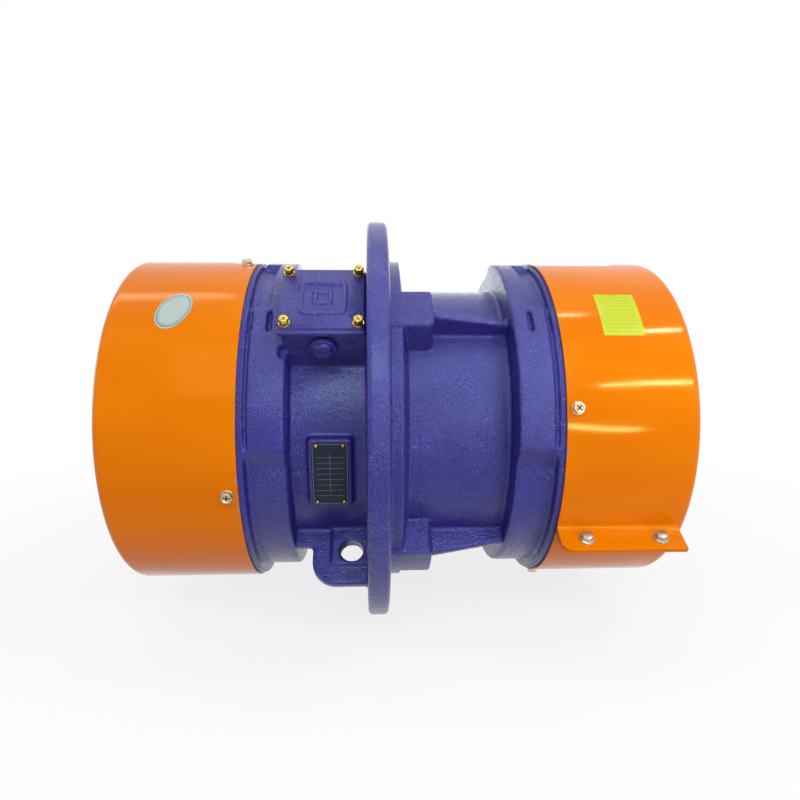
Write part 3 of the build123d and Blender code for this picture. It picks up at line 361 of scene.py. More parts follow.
def finish_table():
    """Every finish, and the CAD nodes that carry it."""
    shades = paint()
    return [
        (enamelled_casting(), ["motor_frame", "terminal_lid", "cable_entry_plug"]),
        (enamelled_sheet(), both_ends("weight_cover")),
        # zinc dipped in yellow passivate: warm gold with paler clouds
        (metal("yellow_passivated_zinc", shades.yellow_zinc, 0.30, 1.2 * MM, 0.02, "#C9A95A"),
         ["lid_screws", "lid_washers", "lid_spring_washers"]),
        # the same plate handled and faded: straw with duller clouds
        (metal("worn_yellow_zinc", shades.worn_zinc, 0.34, 1.2 * MM, 0.03, "#B5A27C"),
         ["cover_screws", "cover_washers"]),
        # plain zinc plate: cool grey, satin, faintly clouded
        (metal("bright_zinc_plate", shades.pale_zinc, 0.32, 1.2 * MM, 0.02, "#AEB0A6"),
         ["seam_bolts", "seam_washers", "seam_nuts", "shield_bolts", "bearing_cap_screws"]
         + both_ends("fixed_weight_clamp", "adjustable_weight_clamp")
         + both_ends("shaft_end_bolt", "shaft_end_plate")),
        # painted shade in the screws' cross recesses: a dark matt cross
        (plain_coat("painted_shade_in_recess", "#2A2414", 0.7, 0.6 * MM), []),
        # spring steel blued by tempering: a dark satin ring under the gold
        (metal("blued_spring_steel", "#4A4A4C", 0.4, 0.9 * MM, 0.01, "#2E2E32"), []),
        # rules etched through the nameplate's print: thin grey-blue lines
        (plain_coat("bare_printed_rules", shades.plate_line, 0.4, 1.0 * MM, 0.01), []),
        # cast vinyl film: bright lemon yellow, satin and almost smooth
        (plain_coat("yellow_vinyl", shades.label_yellow, 0.32, 2.2 * MM, 0.01, "#BDC40A"), []),
        # screen print on the film: olive lines
        (plain_coat("printed_rules", shades.label_line, 0.32, 2.2 * MM, 0.01), []),
        # white vinyl film: pale grey-green, satin
        (plain_coat("white_vinyl", shades.sticker_white, 0.30, 2.2 * MM, 0.01, "#A5AEAB"), []),
        # screen print on the film: a thin teal ring
        (plain_coat("printed_ring", shades.sticker_ring, 0.30, 2.2 * MM, 0.01), []),
        # moulded nitrile rubber: black and matt
        (plain_coat("nitrile_rubber", "#151515", 0.6, 0.8 * MM),
         ["terminal_gasket", "cable_entry_seal"]),
        # aluminium plate under dark print: blue-black with a soft sheen
        (plain_coat("dark_printed_plate", shades.plate_ground, 0.24, 2.5 * MM, 0.01, "#1F2338", 0.2),
         ["nameplate"]),
        # brass rivets set by hammer: small warm domes
        (metal("riveted_brass", "#C9A35A", 0.35, 0.8 * MM, 0.02, "#A88446"), ["nameplate_rivets"]),
        # moulded phenolic: dark brown, half gloss
        (plain_coat("phenolic_moulding", "#2A211C", 0.38, 1.5 * MM, 0.02, "#1C1613"),
         ["terminal_board"]),
        # turned brass: bright yellow metal
        (metal("bright_brass", "#D8B262", 0.25, 0.9 * MM, 0.01, "#C59C4E"),
         ["terminal_studs", "terminal_links", "terminal_nuts"]),
        # cast iron machined bare: dark grey with an open grain
        (metal("machined_cast_iron", "#5E5E60", 0.5, 1.4 * MM, 0.05, "#48484A"),
         both_ends("end_shield", "inner_bearing_cap", "outer_bearing_cap")),
        # hardened and ground steel: near mirror
        (metal("ground_bearing_steel", "#C6C8CC", 0.16, 0.7 * MM, 0.004, "#B4B6BA"),
         both_ends("bearing_outer_ring", "bearing_inner_ring", "bearing_rollers")),
        # machined brass: soft yellow shine
        (metal("machined_cage_brass", "#CFA65A", 0.3, 1.0 * MM, 0.02, "#B78E48"),
         both_ends("bearing_cage")),
        # punched sheets pressed into a stack: dark grey with fine rings
        (ringed_metal("stacked_laminations", "#6A6A6E", 0.45, 2.0 * MM, "#3E3E42"),
         ["stator_core", "rotor_core"]),
        (wound_wire(), both_ends("winding")),
        # steel bar turned on a lathe: light grey with tool rings
        (ringed_metal("turned_shaft_steel", "#A8A8AC", 0.28, 1.0 * MM, "#8E8E92"),
         ["shaft"] + both_ends("fixed_weight_key")),
        # aluminium cast into the rotor: pale, slightly rough
        (metal("die_cast_aluminium", "#C4C6CA", 0.42, 2.0 * MM, 0.06, "#AEB0B4"),
         both_ends("rotor_end_ring")),
        # plate cut by flame: dark scale with brownish clouds
        (metal("flame_cut_plate", "#55565A", 0.48, 2.4 * MM, 0.08, "#3F3A38"),
         both_ends("fixed_weight", "adjustable_weight")),
    ]


# Mesh helpers

def mean(points):
    """The middle of some points."""
    return sum(points, Vector()) / len(points)


def radial(point):
    """The direction straight out from the shaft through a point."""
    return Vector((0, point.y, point.z)).normalized()


def aim(seat, axis):
    """Stands a piece modelled on z = 0 at a seat, along an axis, its X along the shaft if it can."""
    up = axis.normalized()
    along = Vector((1, 0, 0)) - up * up.x
    side = up.cross(along.normalized())
    turn = Matrix((along.normalized(), side, up)).transposed().to_4x4()
    return Matrix.Translation(seat) @ turn


def merged_copy(name):
    """A bmesh of a CAD node with its loose triangles merged into one skin."""
    shape = bmesh.new()
    shape.from_mesh(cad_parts[name].data)
    bmesh.ops.remove_doubles(shape, verts=shape.verts, dist=1e-6)
    return shape


def islands(name):
    """The separate solids of a CAD node, each as a list of its points."""
    shape = merged_copy(name)
    seen, groups = set(), []
    for first in shape.verts:
        if first in seen:
            continue
        seen.add(first)
        stack, group = [first], []
        while stack:
            vert = stack.pop()
            group.append(vert.co.copy())
            for edge in vert.link_edges:
                other = edge.other_vert(vert)
                if other not in seen:
                    seen.add(other)
                    stack.append(other)
        groups.append(group)
    shape.free()
    return groups


def seat_under(group, axis, head):
    """The point on a screw's axis where its head sits, given the head's height."""
    middle = mean(group)
    top = max(point.dot(axis) for point in group)
    return middle + axis * (top - head - middle.dot(axis))


def spun(outline, steps=32):
    """Spins an (r, z) outline, from the axis or closed on itself, about Z."""
    shape = bmesh.new()
    verts = [shape.verts.new((r, 0, z)) for r, z in outline]
    pairs = list(zip(verts, verts[1:]))
    if outline[0][0] > 0:
        pairs.append((verts[-1], verts[0]))
    edges = [shape.edges.new(pair) for pair in pairs]
    bmesh.ops.spin(shape, geom=verts + edges, cent=(0, 0, 0), axis=(0, 0, 1), angle=2 * pi,
                   steps=steps, use_merge=True)
    bmesh.ops.remove_doubles(shape, verts=shape.verts, dist=1e-7)
    bmesh.ops.recalc_face_normals(shape, faces=shape.faces)
    return shape


def copies(source, places):
    """Copies of one piece at several places, as a single bmesh."""
    pattern = bpy.data.meshes.new("pattern")
    source.to_mesh(pattern)
    source.free()
    joined = bmesh.new()
    for place in places:
        copy = pattern.copy()
        copy.transform(place)
        joined.from_mesh(copy)
        bpy.data.meshes.remove(copy)
    bpy.data.meshes.remove(pattern)
    return joined


def join(target, source):
    """Adds one bmesh to another."""
    mesh = bpy.data.meshes.new("extra")
    source.to_mesh(mesh)
    source.free()
    target.from_mesh(mesh)
    bpy.data.meshes.remove(mesh)


def round_edges(shape, edges, width, segments=2):
    """Rounds some edges."""
    bmesh.ops.bevel(shape, geom=edges, offset=width, segments=segments, profile=0.5,
                    affect="EDGES", material=-1)


def slab(length, width, low, high, corner=0.0, edge=0.0):
    """A plate centred on Z, with round corners and softened top edges."""
    shape = bmesh.new()
    bmesh.ops.create_cube(shape, size=1)
    bmesh.ops.scale(shape, verts=shape.verts, vec=(length, width, high - low))
    bmesh.ops.translate(shape, verts=shape.verts, vec=(0, 0, (high + low) / 2))
    if corner:
        upright = [e for e in shape.edges
                   if abs(e.verts[0].co.z - e.verts[1].co.z) > (high - low) / 2]
        round_edges(shape, upright, corner, 4)
    if edge:
        rim = [e for e in shape.edges if all(v.co.z > high - edge / 2 for v in e.verts)]
        round_edges(shape, rim, edge)
    return shape


def top_face(shape):
    """The highest flat face that looks up."""
    return max(shape.faces, key=lambda f: (round(f.calc_center_median().z, 7), f.calc_area()))


def place_mesh(shape, name, materials, body, replaced=(), smooth=30):
    """Turns a bmesh into a finished piece that rides a body."""
    mesh = bpy.data.meshes.new(name)
    shape.to_mesh(mesh)
    shape.free()
    return place_piece(mesh, name, materials, body, replaced, smooth)


def place_piece(mesh, name, materials, body, replaced=(), smooth=30):
    """Puts a mesh in the scene as a finished piece that rides a body."""
    piece = bpy.data.objects.new(name, mesh)
    bpy.context.scene.collection.objects.link(piece)
    for material in materials:
        mesh.materials.append(bpy.data.materials[material])
    mesh.shade_smooth()
    mesh.set_sharp_from_angle(angle=radians(smooth))
    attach(piece, body)
    if replaced:
        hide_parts(*replaced)
    return piece


def as_modified(piece):
    """A new mesh of an object with its modifiers applied."""
    graph = bpy.context.evaluated_depsgraph_get()
    return bpy.data.meshes.new_from_object(piece.evaluated_get(graph))


def soft_cast(name, grain, rounds, most):
    """A CAD casting as sand leaves it: skinned anew at a grain, rubbed soft, most triangles at the end."""
    mesh = bpy.data.meshes.new(f"{name}_raw")
    shape = merged_copy(name)
    shape.to_mesh(mesh)
    shape.free()
    raw = bpy.data.objects.new(f"{name}_raw", mesh)
    bpy.context.scene.collection.objects.link(raw)
    skin = raw.modifiers.new("skin", "REMESH")
    skin.mode = "VOXEL"
    skin.voxel_size = grain
    rub = raw.modifiers.new("rub", "SMOOTH")
    rub.factor = 0.5
    rub.iterations = rounds
    first = as_modified(raw)
    first.calc_loop_triangles()
    thin = raw.modifiers.new("thin", "DECIMATE")
    thin.ratio = min(1.0, most / len(first.loop_triangles))
    final = as_modified(raw)
    final.name = f"{name}_cast"
    bpy.data.objects.remove(raw)
    bpy.data.meshes.remove(mesh)
    bpy.data.meshes.remove(first)
    return final


def bend_round_cover(shape, end, inset, clock, lift):
    """Lays a flat sheet (x along the shaft, y round it) on an end cover."""
    cover = RIGHT_COVER if end == "right" else LEFT_COVER
    start = cover[0].x + inset if end == "right" else cover[1].x - inset
    for vert in shape.verts:
        angle = clock - vert.co.y / COVER_RADIUS
        radius = COVER_RADIUS + lift + vert.co.z
        vert.co = Vector((start + vert.co.x, -radius * sin(angle), radius * cos(angle)))


def circle(shape, radius, height, filled, segments):
    """Adds a circle at a height and returns its edges."""
    verts = bmesh.ops.create_circle(shape, cap_ends=filled, segments=segments, radius=radius)["verts"]
    bmesh.ops.translate(shape, verts=verts, vec=(0, 0, height))
    return list({edge for vert in verts for edge in vert.link_edges})


def hex_head(flats, height, dish=0.0, cross=0.0):
    """A hexagon head on z = 0 with its corners turned off; a dished one has a cross recess."""
    shape = bmesh.new()
    corner = flats / 2 / cos(pi / 6)
    bmesh.ops.create_cone(shape, cap_ends=True, segments=6, radius1=corner, radius2=corner, depth=height)
    bmesh.ops.translate(shape, verts=shape.verts, vec=(0, 0, height / 2))
    top = [e for e in shape.edges if all(v.co.z > height / 2 for v in e.verts)]
    round_edges(shape, top, flats * 0.08)
    if not dish:
        return shape
    brim, recess, sides = flats * 0.37, flats * 0.30, 24
    crown = max(shape.faces, key=lambda f: f.calc_center_median().z)
    border = list(crown.edges)
    bmesh.ops.delete(shape, geom=[crown], context="FACES_ONLY")
    rim = circle(shape, brim, height, False, sides)
    bmesh.ops.bridge_loops(shape, edges=border + rim)
    floor = circle(shape, recess, height - dish, True, sides)
    base = [f for f in floor[0].link_faces if len(f.verts) == sides]
    bmesh.ops.bridge_loops(shape, edges=rim + floor)
    cut_cross(shape, base, cross, dish)
    bmesh.ops.recalc_face_normals(shape, faces=shape.faces)
    return shape


def cut_cross(shape, faces, width, depth):
    """Sinks a cross into a flat face, with its walls and floor in the second material."""
    for normal in (Vector((1, 0, 0)), Vector((0, 1, 0))):
        for side in (-1, 1):
            verts = {v for f in faces for v in f.verts}
            edges = {e for f in faces for e in f.edges}
            cut = bmesh.ops.bisect_plane(shape, geom=list(verts) + list(edges) + faces,
                                         plane_co=normal * side * width / 2, plane_no=normal, dist=1e-8)
            faces = [f for f in cut["geom"] if isinstance(f, bmesh.types.BMFace)]
    middles = {f: f.calc_center_median() for f in faces}
    arms = [f for f in faces if min(abs(middles[f].x), abs(middles[f].y)) < width / 2]
    sunk = bmesh.ops.extrude_face_region(shape, geom=arms)["geom"]
    bmesh.ops.delete(shape, geom=[f for f in arms if f.is_valid], context="FACES_ONLY")
    lower = [v for v in sunk if isinstance(v, bmesh.types.BMVert)]
    bmesh.ops.translate(shape, verts=lower, vec=(0, 0, -depth))
    # The sunk walls and floor take the second material, painted shade on the screws.
    for vert in lower:
        for face in vert.link_faces:
            face.material_index = 1


def shank(radius, length, pitch=1.0 * MM):
    """A threaded shank below z = 0, with one ridge a turn."""
    depth = pitch * 0.3
    outline = [(0, 0.2 * MM), (radius, 0.2 * MM)]
    turns = int(length / pitch) - 1
    for i in range(turns):
        outline += [(radius, -pitch * (i + 0.25)), (radius - depth, -pitch * (i + 0.75))]
    outline += [(radius, -pitch * turns), (radius - depth, -length), (0, -length)]
    return spun(outline, 20)


def washer(inner, outer, thickness, edge=0.2 * MM):
    """A stamped washer on z = 0, one edge rolled over."""
    return spun([(inner, 0), (outer, 0), (outer, thickness - edge), (outer - edge, thickness),
                 (inner + edge, thickness), (inner, thickness - edge)], 32)


def nut(flats, height):
    """A hexagon nut on z = 0 with its corners turned off at both faces."""
    shape = bmesh.new()
    corner = flats / 2 / cos(pi / 6)
    bmesh.ops.create_cone(shape, cap_ends=True, segments=6, radius1=corner, radius2=corner, depth=height)
    bmesh.ops.translate(shape, verts=shape.verts, vec=(0, 0, height / 2))
    flat = [e for e in shape.edges if abs(e.verts[0].co.z - e.verts[1].co.z) < height / 2]
    round_edges(shape, flat, flats * 0.06)
    return shape


def rolled_cover(end):
    """A weight cover: spun cup with a round end, and its seam's two turned-out leaves."""
    low, high = RIGHT_COVER if end == "right" else LEFT_COVER
    length, outer, wall, corner = high.x - low.x, COVER_RADIUS, SHEET_WALL, 8 * MM
    lip = 0.35 * MM
    arc = [(sin(radians(a)), cos(radians(a))) for a in range(0, 91, 9)]
    outline = [(0, length)]
    outline += [(outer - corner + corner * s, length - corner + corner * c) for s, c in arc]
    outline += [(outer, lip), (outer - lip, 0), (outer - wall + lip, 0), (outer - wall, lip)]
    inner = corner - wall
    outline += [(outer - corner + inner * s, length - corner + inner * c) for s, c in reversed(arc)]
    outline += [(0, length - wall)]
    cup = spun(outline, 192)
    points = [point for group in islands(f"{end}_weight_cover") for point in group]
    reach = max(point.yz.length for point in points)
    tips = [point for point in points if point.yz.length > reach - 0.5 * MM]
    for side in (-1, 1):
        join(cup, seam_leaf(length - corner, reach - 0.02 * MM, side))
    clock = radial(mean(tips))
    turn = Vector((0, 0, 1)).rotation_difference(clock).to_matrix().to_4x4()
    swap = Matrix(((0, 0, 1, 0), (0, 1, 0, 0), (-1, 0, 0, 0), (0, 0, 0, 1)))
    lay = Matrix.Translation((low.x, 0, 0)) @ turn @ swap
    if end == "left":
        lay = Matrix.Translation((high.x, 0, 0)) @ turn @ Matrix.Scale(-1, 4, (1, 0, 0)) @ swap
    bmesh.ops.transform(cup, matrix=lay, verts=cup.verts)
    bmesh.ops.recalc_face_normals(cup, faces=cup.faces)
    return cup


def seam_leaf(length, top, side):
    """One leaf of the seam, along Z from the open edge, standing out on the cup's -X side."""
    gap, foot, bend, round_off = 0.3 * MM, 6.5 * MM, 5.6 * MM, 11 * MM
    back = gap + SHEET_WALL
    root = COVER_RADIUS - 1.4 * MM
    skin = COVER_RADIUS + 0.05 * MM
    outline = [(gap, root), (gap, top), (back, top), (back, skin), (back + foot, skin - 0.1 * MM),
               (back + foot, root)]
    shape = bmesh.new()
    face = shape.faces.new([shape.verts.new((-height, side * across, 0)) for across, height in outline])
    moved = bmesh.ops.extrude_face_region(shape, geom=[face])["geom"]
    far = [v for v in moved if isinstance(v, bmesh.types.BMVert)]
    bmesh.ops.translate(shape, verts=far, vec=(0, 0, length))
    inside = [e for e in shape.edges
              if all(abs(v.co.x + skin) < 1e-6 and abs(abs(v.co.y) - back) < 1e-6 for v in e.verts)]
    round_edges(shape, inside, bend, 6)
    corner = [e for e in shape.edges if all(v.co.x < -top + 1e-6 and v.co.z < 1e-6 for v in e.verts)]
    round_edges(shape, corner, round_off, 8)
    bmesh.ops.recalc_face_normals(shape, faces=shape.faces)
    return shape


# Operators

class MOTOR_OT_finishes(bpy.types.Operator):
    """Gives every CAD node its finish"""
    bl_idname = "motor.finishes"
    bl_label = "Apply finishes"

    def execute(self, context):
        for material, names in finish_table():
            for name in names:
                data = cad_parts[name].data
                data.materials.clear()
                data.materials.append(material)
        return {"FINISHED"}


class MOTOR_OT_castings(bpy.types.Operator):
    """Gives the frame and the cable plug their soft sand-cast skin"""
    bl_idname = "motor.castings"
    bl_label = "Soften the castings"

    def execute(self, context):
        coarser = 1.0
        for name, grain, rounds, most in (("motor_frame", 1.5 * MM * coarser, 3, 190000),
                                          ("cable_entry_plug", 0.35 * MM, 2, 20000)):
            place_piece(soft_cast(name, grain, rounds, most), f"{name}_cast",
                        ["gloss_enamel_on_sand_casting"], "frame", [name], 50)
        return {"FINISHED"}


class MOTOR_OT_lid(bpy.types.Operator):
    """Casts the terminal lid: a ledge, a round shoulder and two raised square rings"""
    bl_idname = "motor.lid"
    bl_label = "Cast the terminal lid"

    def execute(self, context):
        low, high = node_spans("terminal_lid")
        out = radial((low + high) / 2)
        lay = aim((low + high) / 2, out)
        local = [lay.inverted() @ point for group in islands("terminal_lid") for point in group]
        spans = [(min(point[i] for point in local), max(point[i] for point in local)) for i in range(2)]
        length, width = [most - least for least, most in spans]
        base, top = min(point.z for point in local), max(point.z for point in local)
        relief = 1.2 * MM
        ledge = base + 3.6 * MM
        lid = slab(length, width, base, ledge, 4.0 * MM, 0.9 * MM)
        crown = top_face(lid)
        rise = top - relief - ledge
        shoulder = ((0.15, 0.0), (0.10, 0.45), (0.20, 0.25), (0.35, 0.18), (0.50, 0.12))
        for step, share in shoulder:  # inward in mm, share of the rise
            bmesh.ops.inset_region(lid, faces=[crown], thickness=step * MM, depth=rise * share,
                                   use_boundary=True)
        flat = [v for v in lid.verts if v.co.z > ledge + rise * 0.2]
        bmesh.ops.scale(lid, verts=flat, vec=(1, 1 - 3.4 * MM / width, 1))
        hollow = ((2.2, 0.0), (0.25, 0.10), (0.35, 0.30), (0.30, 0.80), (0.10, 0.60))
        for side, corner in ((44 * MM, 7 * MM), (18 * MM, 2.4 * MM)):
            ring = slab(side, side, top - relief - 0.6 * MM, top, corner, 1.0 * MM)
            middle = top_face(ring)
            for step, drop in hollow:  # inward and down, in mm
                bmesh.ops.inset_region(ring, faces=[middle], thickness=step * MM, depth=-drop * MM,
                                       use_boundary=True)
            join(lid, ring)
        place_mesh(copies(lid, [lay]), "terminal_lid_cast", ["gloss_enamel_on_sand_casting"], "frame",
                   ["terminal_lid"], 50)
        return {"FINISHED"}


class MOTOR_OT_covers(bpy.types.Operator):
    """Makes the two rolled weight covers with their turned-out seams"""
    bl_idname = "motor.covers"
    bl_label = "Roll the weight covers"

    def execute(self, context):
        for end in ("left", "right"):
            place_mesh(rolled_cover(end), f"{end}_cover_sheet", ["gloss_enamel_on_rolled_sheet"],
                       "frame", [f"{end}_weight_cover"])
        return {"FINISHED"}


class MOTOR_OT_screws(bpy.types.Operator):
    """Makes the dished cross-recess screws of the covers and the lid, with their washers"""
    bl_idname = "motor.screws"
    bl_label = "Fit the small screws"

    def execute(self, context):
        lid_out = radial(mean([Vector(corner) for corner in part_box("terminal_lid")]))
        for name, (flats, head, bolt_r), zinc in (("cover_screws", M6, "worn_yellow_zinc"),
                                                  ("lid_screws", M5, "yellow_passivated_zinc")):
            places, length = [], 0.0
            for group in islands(name):
                out = lid_out if name == "lid_screws" else radial(mean(group))
                seat = seat_under(group, out, head)
                length = seat.dot(out) - min(point.dot(out) for point in group)
                tightened = radians(45 + 37 * len(places))
                places.append(aim(seat, out) @ Matrix.Rotation(tightened, 4, "Z"))
            # The cross recess's walls and floor carry painted shade.
            screw = hex_head(flats, head, flats * 0.07, flats * 0.13)
            join(screw, shank(bolt_r, length))
            place_mesh(copies(screw, places), f"{name}_dished", [zinc, "painted_shade_in_recess"], "frame",
                       [name])
        rings = (("cover_washers", 3.15 * MM, 6.2 * MM, FLAT_WASHER, "worn_yellow_zinc"),
                 ("lid_washers", 2.65 * MM, 5.2 * MM, FLAT_WASHER, "yellow_passivated_zinc"),
                 ("lid_spring_washers", 2.65 * MM, 4.3 * MM, 1.6 * MM, "blued_spring_steel"))
        for name, bore, outer, thick, finish in rings:
            places = []
            for group in islands(name):
                out = radial(mean(group)) if name == "cover_washers" else lid_out
                places.append(aim(seat_under(group, out, thick), out))
            place_mesh(copies(washer(bore, outer, thick), places), f"{name}_stamped", [finish], "frame",
                       [name])
        return {"FINISHED"}


class MOTOR_OT_seam_bolts(bpy.types.Operator):
    """Makes the bolts, washers and nuts of the covers' seams"""
    bl_idname = "motor.seam_bolts"
    bl_label = "Fit the seam bolts"

    def execute(self, context):
        flats, head, bolt_r = M6
        nuts = [(mean(group), group) for group in islands("seam_nuts")]
        rings = [(mean(group), group) for group in islands("seam_washers")]
        bolt_places, nut_places, ring_places, length = [], [], [], 0.0
        for group in islands("seam_bolts"):
            middle = mean(group)
            nut_middle, nut_group = min(nuts, key=lambda pair: (pair[0] - middle).length)
            ring_middle, ring_group = min(rings, key=lambda pair: (pair[0] - middle).length)
            out = (ring_middle - nut_middle).normalized()
            seat = seat_under(group, out, head)
            length = seat.dot(out) - min(point.dot(out) for point in group)
            bolt_places.append(aim(seat, out))
            nut_places.append(aim(seat_under(nut_group, out, 0.0), -out))
            ring_places.append(aim(seat_under(ring_group, out, FLAT_WASHER), out))
        bolt = hex_head(flats, head)
        join(bolt, shank(bolt_r, length))
        pieces = (("seam_bolts", bolt, bolt_places), ("seam_nuts", nut(flats, head), nut_places),
                  ("seam_washers", washer(3.15 * MM, 7.4 * MM, FLAT_WASHER), ring_places))
        for name, piece, places in pieces:
            place_mesh(copies(piece, places), f"{name}_plated", ["bright_zinc_plate"], "frame", [name])
        return {"FINISHED"}


class MOTOR_OT_nameplate(bpy.types.Operator):
    """Makes the blank nameplate with its plain rules, and its dome rivets"""
    bl_idname = "motor.nameplate"
    bl_label = "Rivet the nameplate"

    def execute(self, context):
        points = islands("nameplate")[0]
        low, high = node_spans("nameplate")
        out = radial((low + high) / 2)
        base = Matrix.Translation((low + high) / 2)
        lay = base @ aim(Vector(), out)
        local = [lay.inverted() @ point for point in points]
        width, length, thick = [2 * max(abs(point[i]) for point in local) for i in range(3)]
        plate = slab(width, length, -thick / 2, thick / 2 - 0.1 * MM, 1.2 * MM, 0.15 * MM)
        place_mesh(copies(plate, [lay]), "nameplate_blank", ["dark_printed_plate"], "frame",
                   ["nameplate"])
        rules = bmesh.new()
        line, margin, top, rows = 0.45 * MM, 1.2 * MM, thick / 2, 9
        bars = [(0, side * (length / 2 - margin), width - 2 * margin, line) for side in (-1, 1)]
        bars += [(side * (width / 2 - margin), 0, line, length - 2 * margin) for side in (-1, 1)]
        for i in range(1, rows):
            bars.append((0, length * (0.36 - 0.80 * i / rows), width - 9 * MM, line * 0.7))
        bars.append((0, length * 0.05 - 3.4 * MM, line * 0.7, length * 0.66))
        for x, y, wide, tall in bars:
            bar = slab(wide, tall, top - 0.12 * MM, top - 0.03 * MM)
            bmesh.ops.translate(bar, verts=bar.verts, vec=(x, y, 0))
            join(rules, bar)
        place_mesh(copies(rules, [lay]), "nameplate_rules", ["bare_printed_rules"], "frame", ())
        high_dome, wide_dome, stem, deep = 1.2 * MM, 1.7 * MM, 0.85 * MM, 4.2 * MM
        dome = [(0, high_dome)]
        dome += [(wide_dome * sin(radians(a)), high_dome * cos(radians(a))) for a in (25, 50, 75)]
        dome += [(wide_dome, 0), (stem, 0), (stem, -deep), (0, -deep)]
        places = [aim(seat_under(group, out, high_dome), out) for group in islands("nameplate_rivets")]
        place_mesh(copies(spun(dome, 20), places), "nameplate_rivets_domed", ["riveted_brass"], "frame",
                   ["nameplate_rivets"])
        return {"FINISHED"}


class MOTOR_OT_labels(bpy.types.Operator):
    """Sticks the blank yellow label and the blank oval sticker on the covers"""
    bl_idname = "motor.labels"
    bl_label = "Stick the labels"

    def execute(self, context):
        size = sizes()
        film, lift, rows = LABEL_FILM, 0.03 * MM, 11
        sheet = bmesh.new()
        bmesh.ops.create_grid(sheet, x_segments=26, y_segments=36, size=0.5)
        bmesh.ops.scale(sheet, verts=sheet.verts, vec=(size.label_width, size.label_length, 1))
        bmesh.ops.translate(sheet, verts=sheet.verts, vec=(size.label_width / 2, 0, 0))
        self.thicken(sheet, film)
        bend_round_cover(sheet, "right", size.label_inset, size.label_clock, lift)
        place_mesh(sheet, "yellow_label", ["yellow_vinyl"], "frame", ())
        rules = bmesh.new()
        for i in range(rows):
            rule = bmesh.new()
            bmesh.ops.create_grid(rule, x_segments=20, y_segments=1, size=0.5)
            bmesh.ops.scale(rule, verts=rule.verts, vec=(size.label_width * 0.78, 0.55 * MM, 1))
            down = size.label_length * (0.42 - 0.084 * i)
            bmesh.ops.translate(rule, verts=rule.verts, vec=(size.label_width / 2, down, 0))
            join(rules, rule)
        self.thicken(rules, film / 4)
        bend_round_cover(rules, "right", size.label_inset, size.label_clock, lift + film)
        place_mesh(rules, "yellow_label_rules", ["printed_rules"], "frame", ())
        oval = bmesh.new()
        turn = Matrix.Rotation(size.sticker_tilt, 3, "Z")
        shares = (1.0, 0.92, 0.87, 0.82, 0.80, 0.68, 0.54, 0.40, 0.26, 0.12)
        rings = [circle(oval, share / 2, 0, share == shares[-1], 72) for share in shares]
        for outer, inner in zip(rings, rings[1:]):
            band = bmesh.ops.bridge_loops(oval, edges=outer + inner)["faces"]
            for face in band:
                face.material_index = int(inner in (rings[2], rings[4]))
        bmesh.ops.scale(oval, verts=oval.verts, vec=(size.sticker_length, size.sticker_width, 1))
        self.thicken(oval, film)
        bmesh.ops.rotate(oval, verts=oval.verts, cent=(0, 0, 0), matrix=turn)
        bmesh.ops.translate(oval, verts=oval.verts, vec=(-size.sticker_inset, 0, 0))
        bend_round_cover(oval, "left", 0, size.sticker_clock, lift)
        place_mesh(oval, "oval_sticker", ["white_vinyl", "printed_ring"], "frame", ())
        return {"FINISHED"}

    @staticmethod
    def thicken(sheet, film):
        """Gives a flat sheet the thickness of its film."""
        raised = bmesh.ops.extrude_face_region(sheet, geom=list(sheet.faces), use_keep_orig=True)
        upper = [v for v in raised["geom"] if isinstance(v, bmesh.types.BMVert)]
        bmesh.ops.translate(sheet, verts=upper, vec=(0, 0, film))
        bmesh.ops.recalc_face_normals(sheet, faces=sheet.faces)


class MOTOR_OT_stage(bpy.types.Operator):
    """Sets the floor, lamps and camera"""
    bl_idname = "motor.stage"
    bl_label = "Set the stage"

    def execute(self, context):
        stage = context.scene.motor_stage
        shape = bmesh.new()
        bmesh.ops.create_grid(shape, x_segments=1, y_segments=1, size=stage.floor_size / 2)
        mesh = bpy.data.meshes.new("floor")
        shape.to_mesh(mesh)
        shape.free()
        floor = bpy.data.objects.new("floor", mesh)
        context.scene.collection.objects.link(floor)
        mesh.transform(Matrix.Translation((0, 0, CAD_BOX[0][2] - 0.5 * MM)))
        mesh.materials.append(pale_floor())
        set_world()
        add_lamps()
        add_camera(stage)
        return {"FINISHED"}


def pale_floor():
    """A painted studio board: white to the camera, and it keeps the motor's soft shadow."""
    material, tree, place = blank_material("white_studio_board")
    seen = seen_rays(tree)
    speck = add(tree, "TexNoise", {"Scale": 1 / (4 * MM), "Detail": 2.0}, {"Vector": place})
    speck = add(tree, "MapRange", {"From Min": 0.3, "From Max": 0.7}, {"Value": speck})
    pale = add(tree, "Mix", {"data_type": "RGBA", 6: linear("#F4F4F4"), 7: linear("#F1F1F1")},
               {"Factor": speck}, 2)
    colour = add(tree, "Mix", {"data_type": "RGBA", 6: linear("#C8B5B2")}, {"Factor": seen, 7: pale}, 2)
    board = add(tree, "BsdfDiffuse", {}, {"Color": colour})
    glow = add(tree, "Emission", {"Color": [1, 1, 1, 1], "Strength": 1.0})
    away = add(tree, "VectorMath", {"operation": "LENGTH"}, {0: place}, "Value")
    share = add(tree, "MapRange", {"From Min": 0.42, "From Max": 1.0, "To Min": 0.80}, {"Value": away})
    share = add(tree, "Math", {"operation": "MULTIPLY"}, {0: share, 1: seen})
    both = add(tree, "MixShader", {}, {0: share, 1: board, 2: glow})
    add(tree, "OutputMaterial", {}, {"Surface": both})
    return material


def seen_rays(tree):
    """1 for rays that show the backdrop: straight from the camera, in gloss or through glass."""
    seen = add(tree, "LightPath", out="Is Camera Ray")
    for name in ("Is Glossy Ray", "Is Transmission Ray"):
        ray = add(tree, "LightPath", out=name)
        seen = add(tree, "Math", {"operation": "MAXIMUM"}, {0: seen, 1: ray})
    return seen


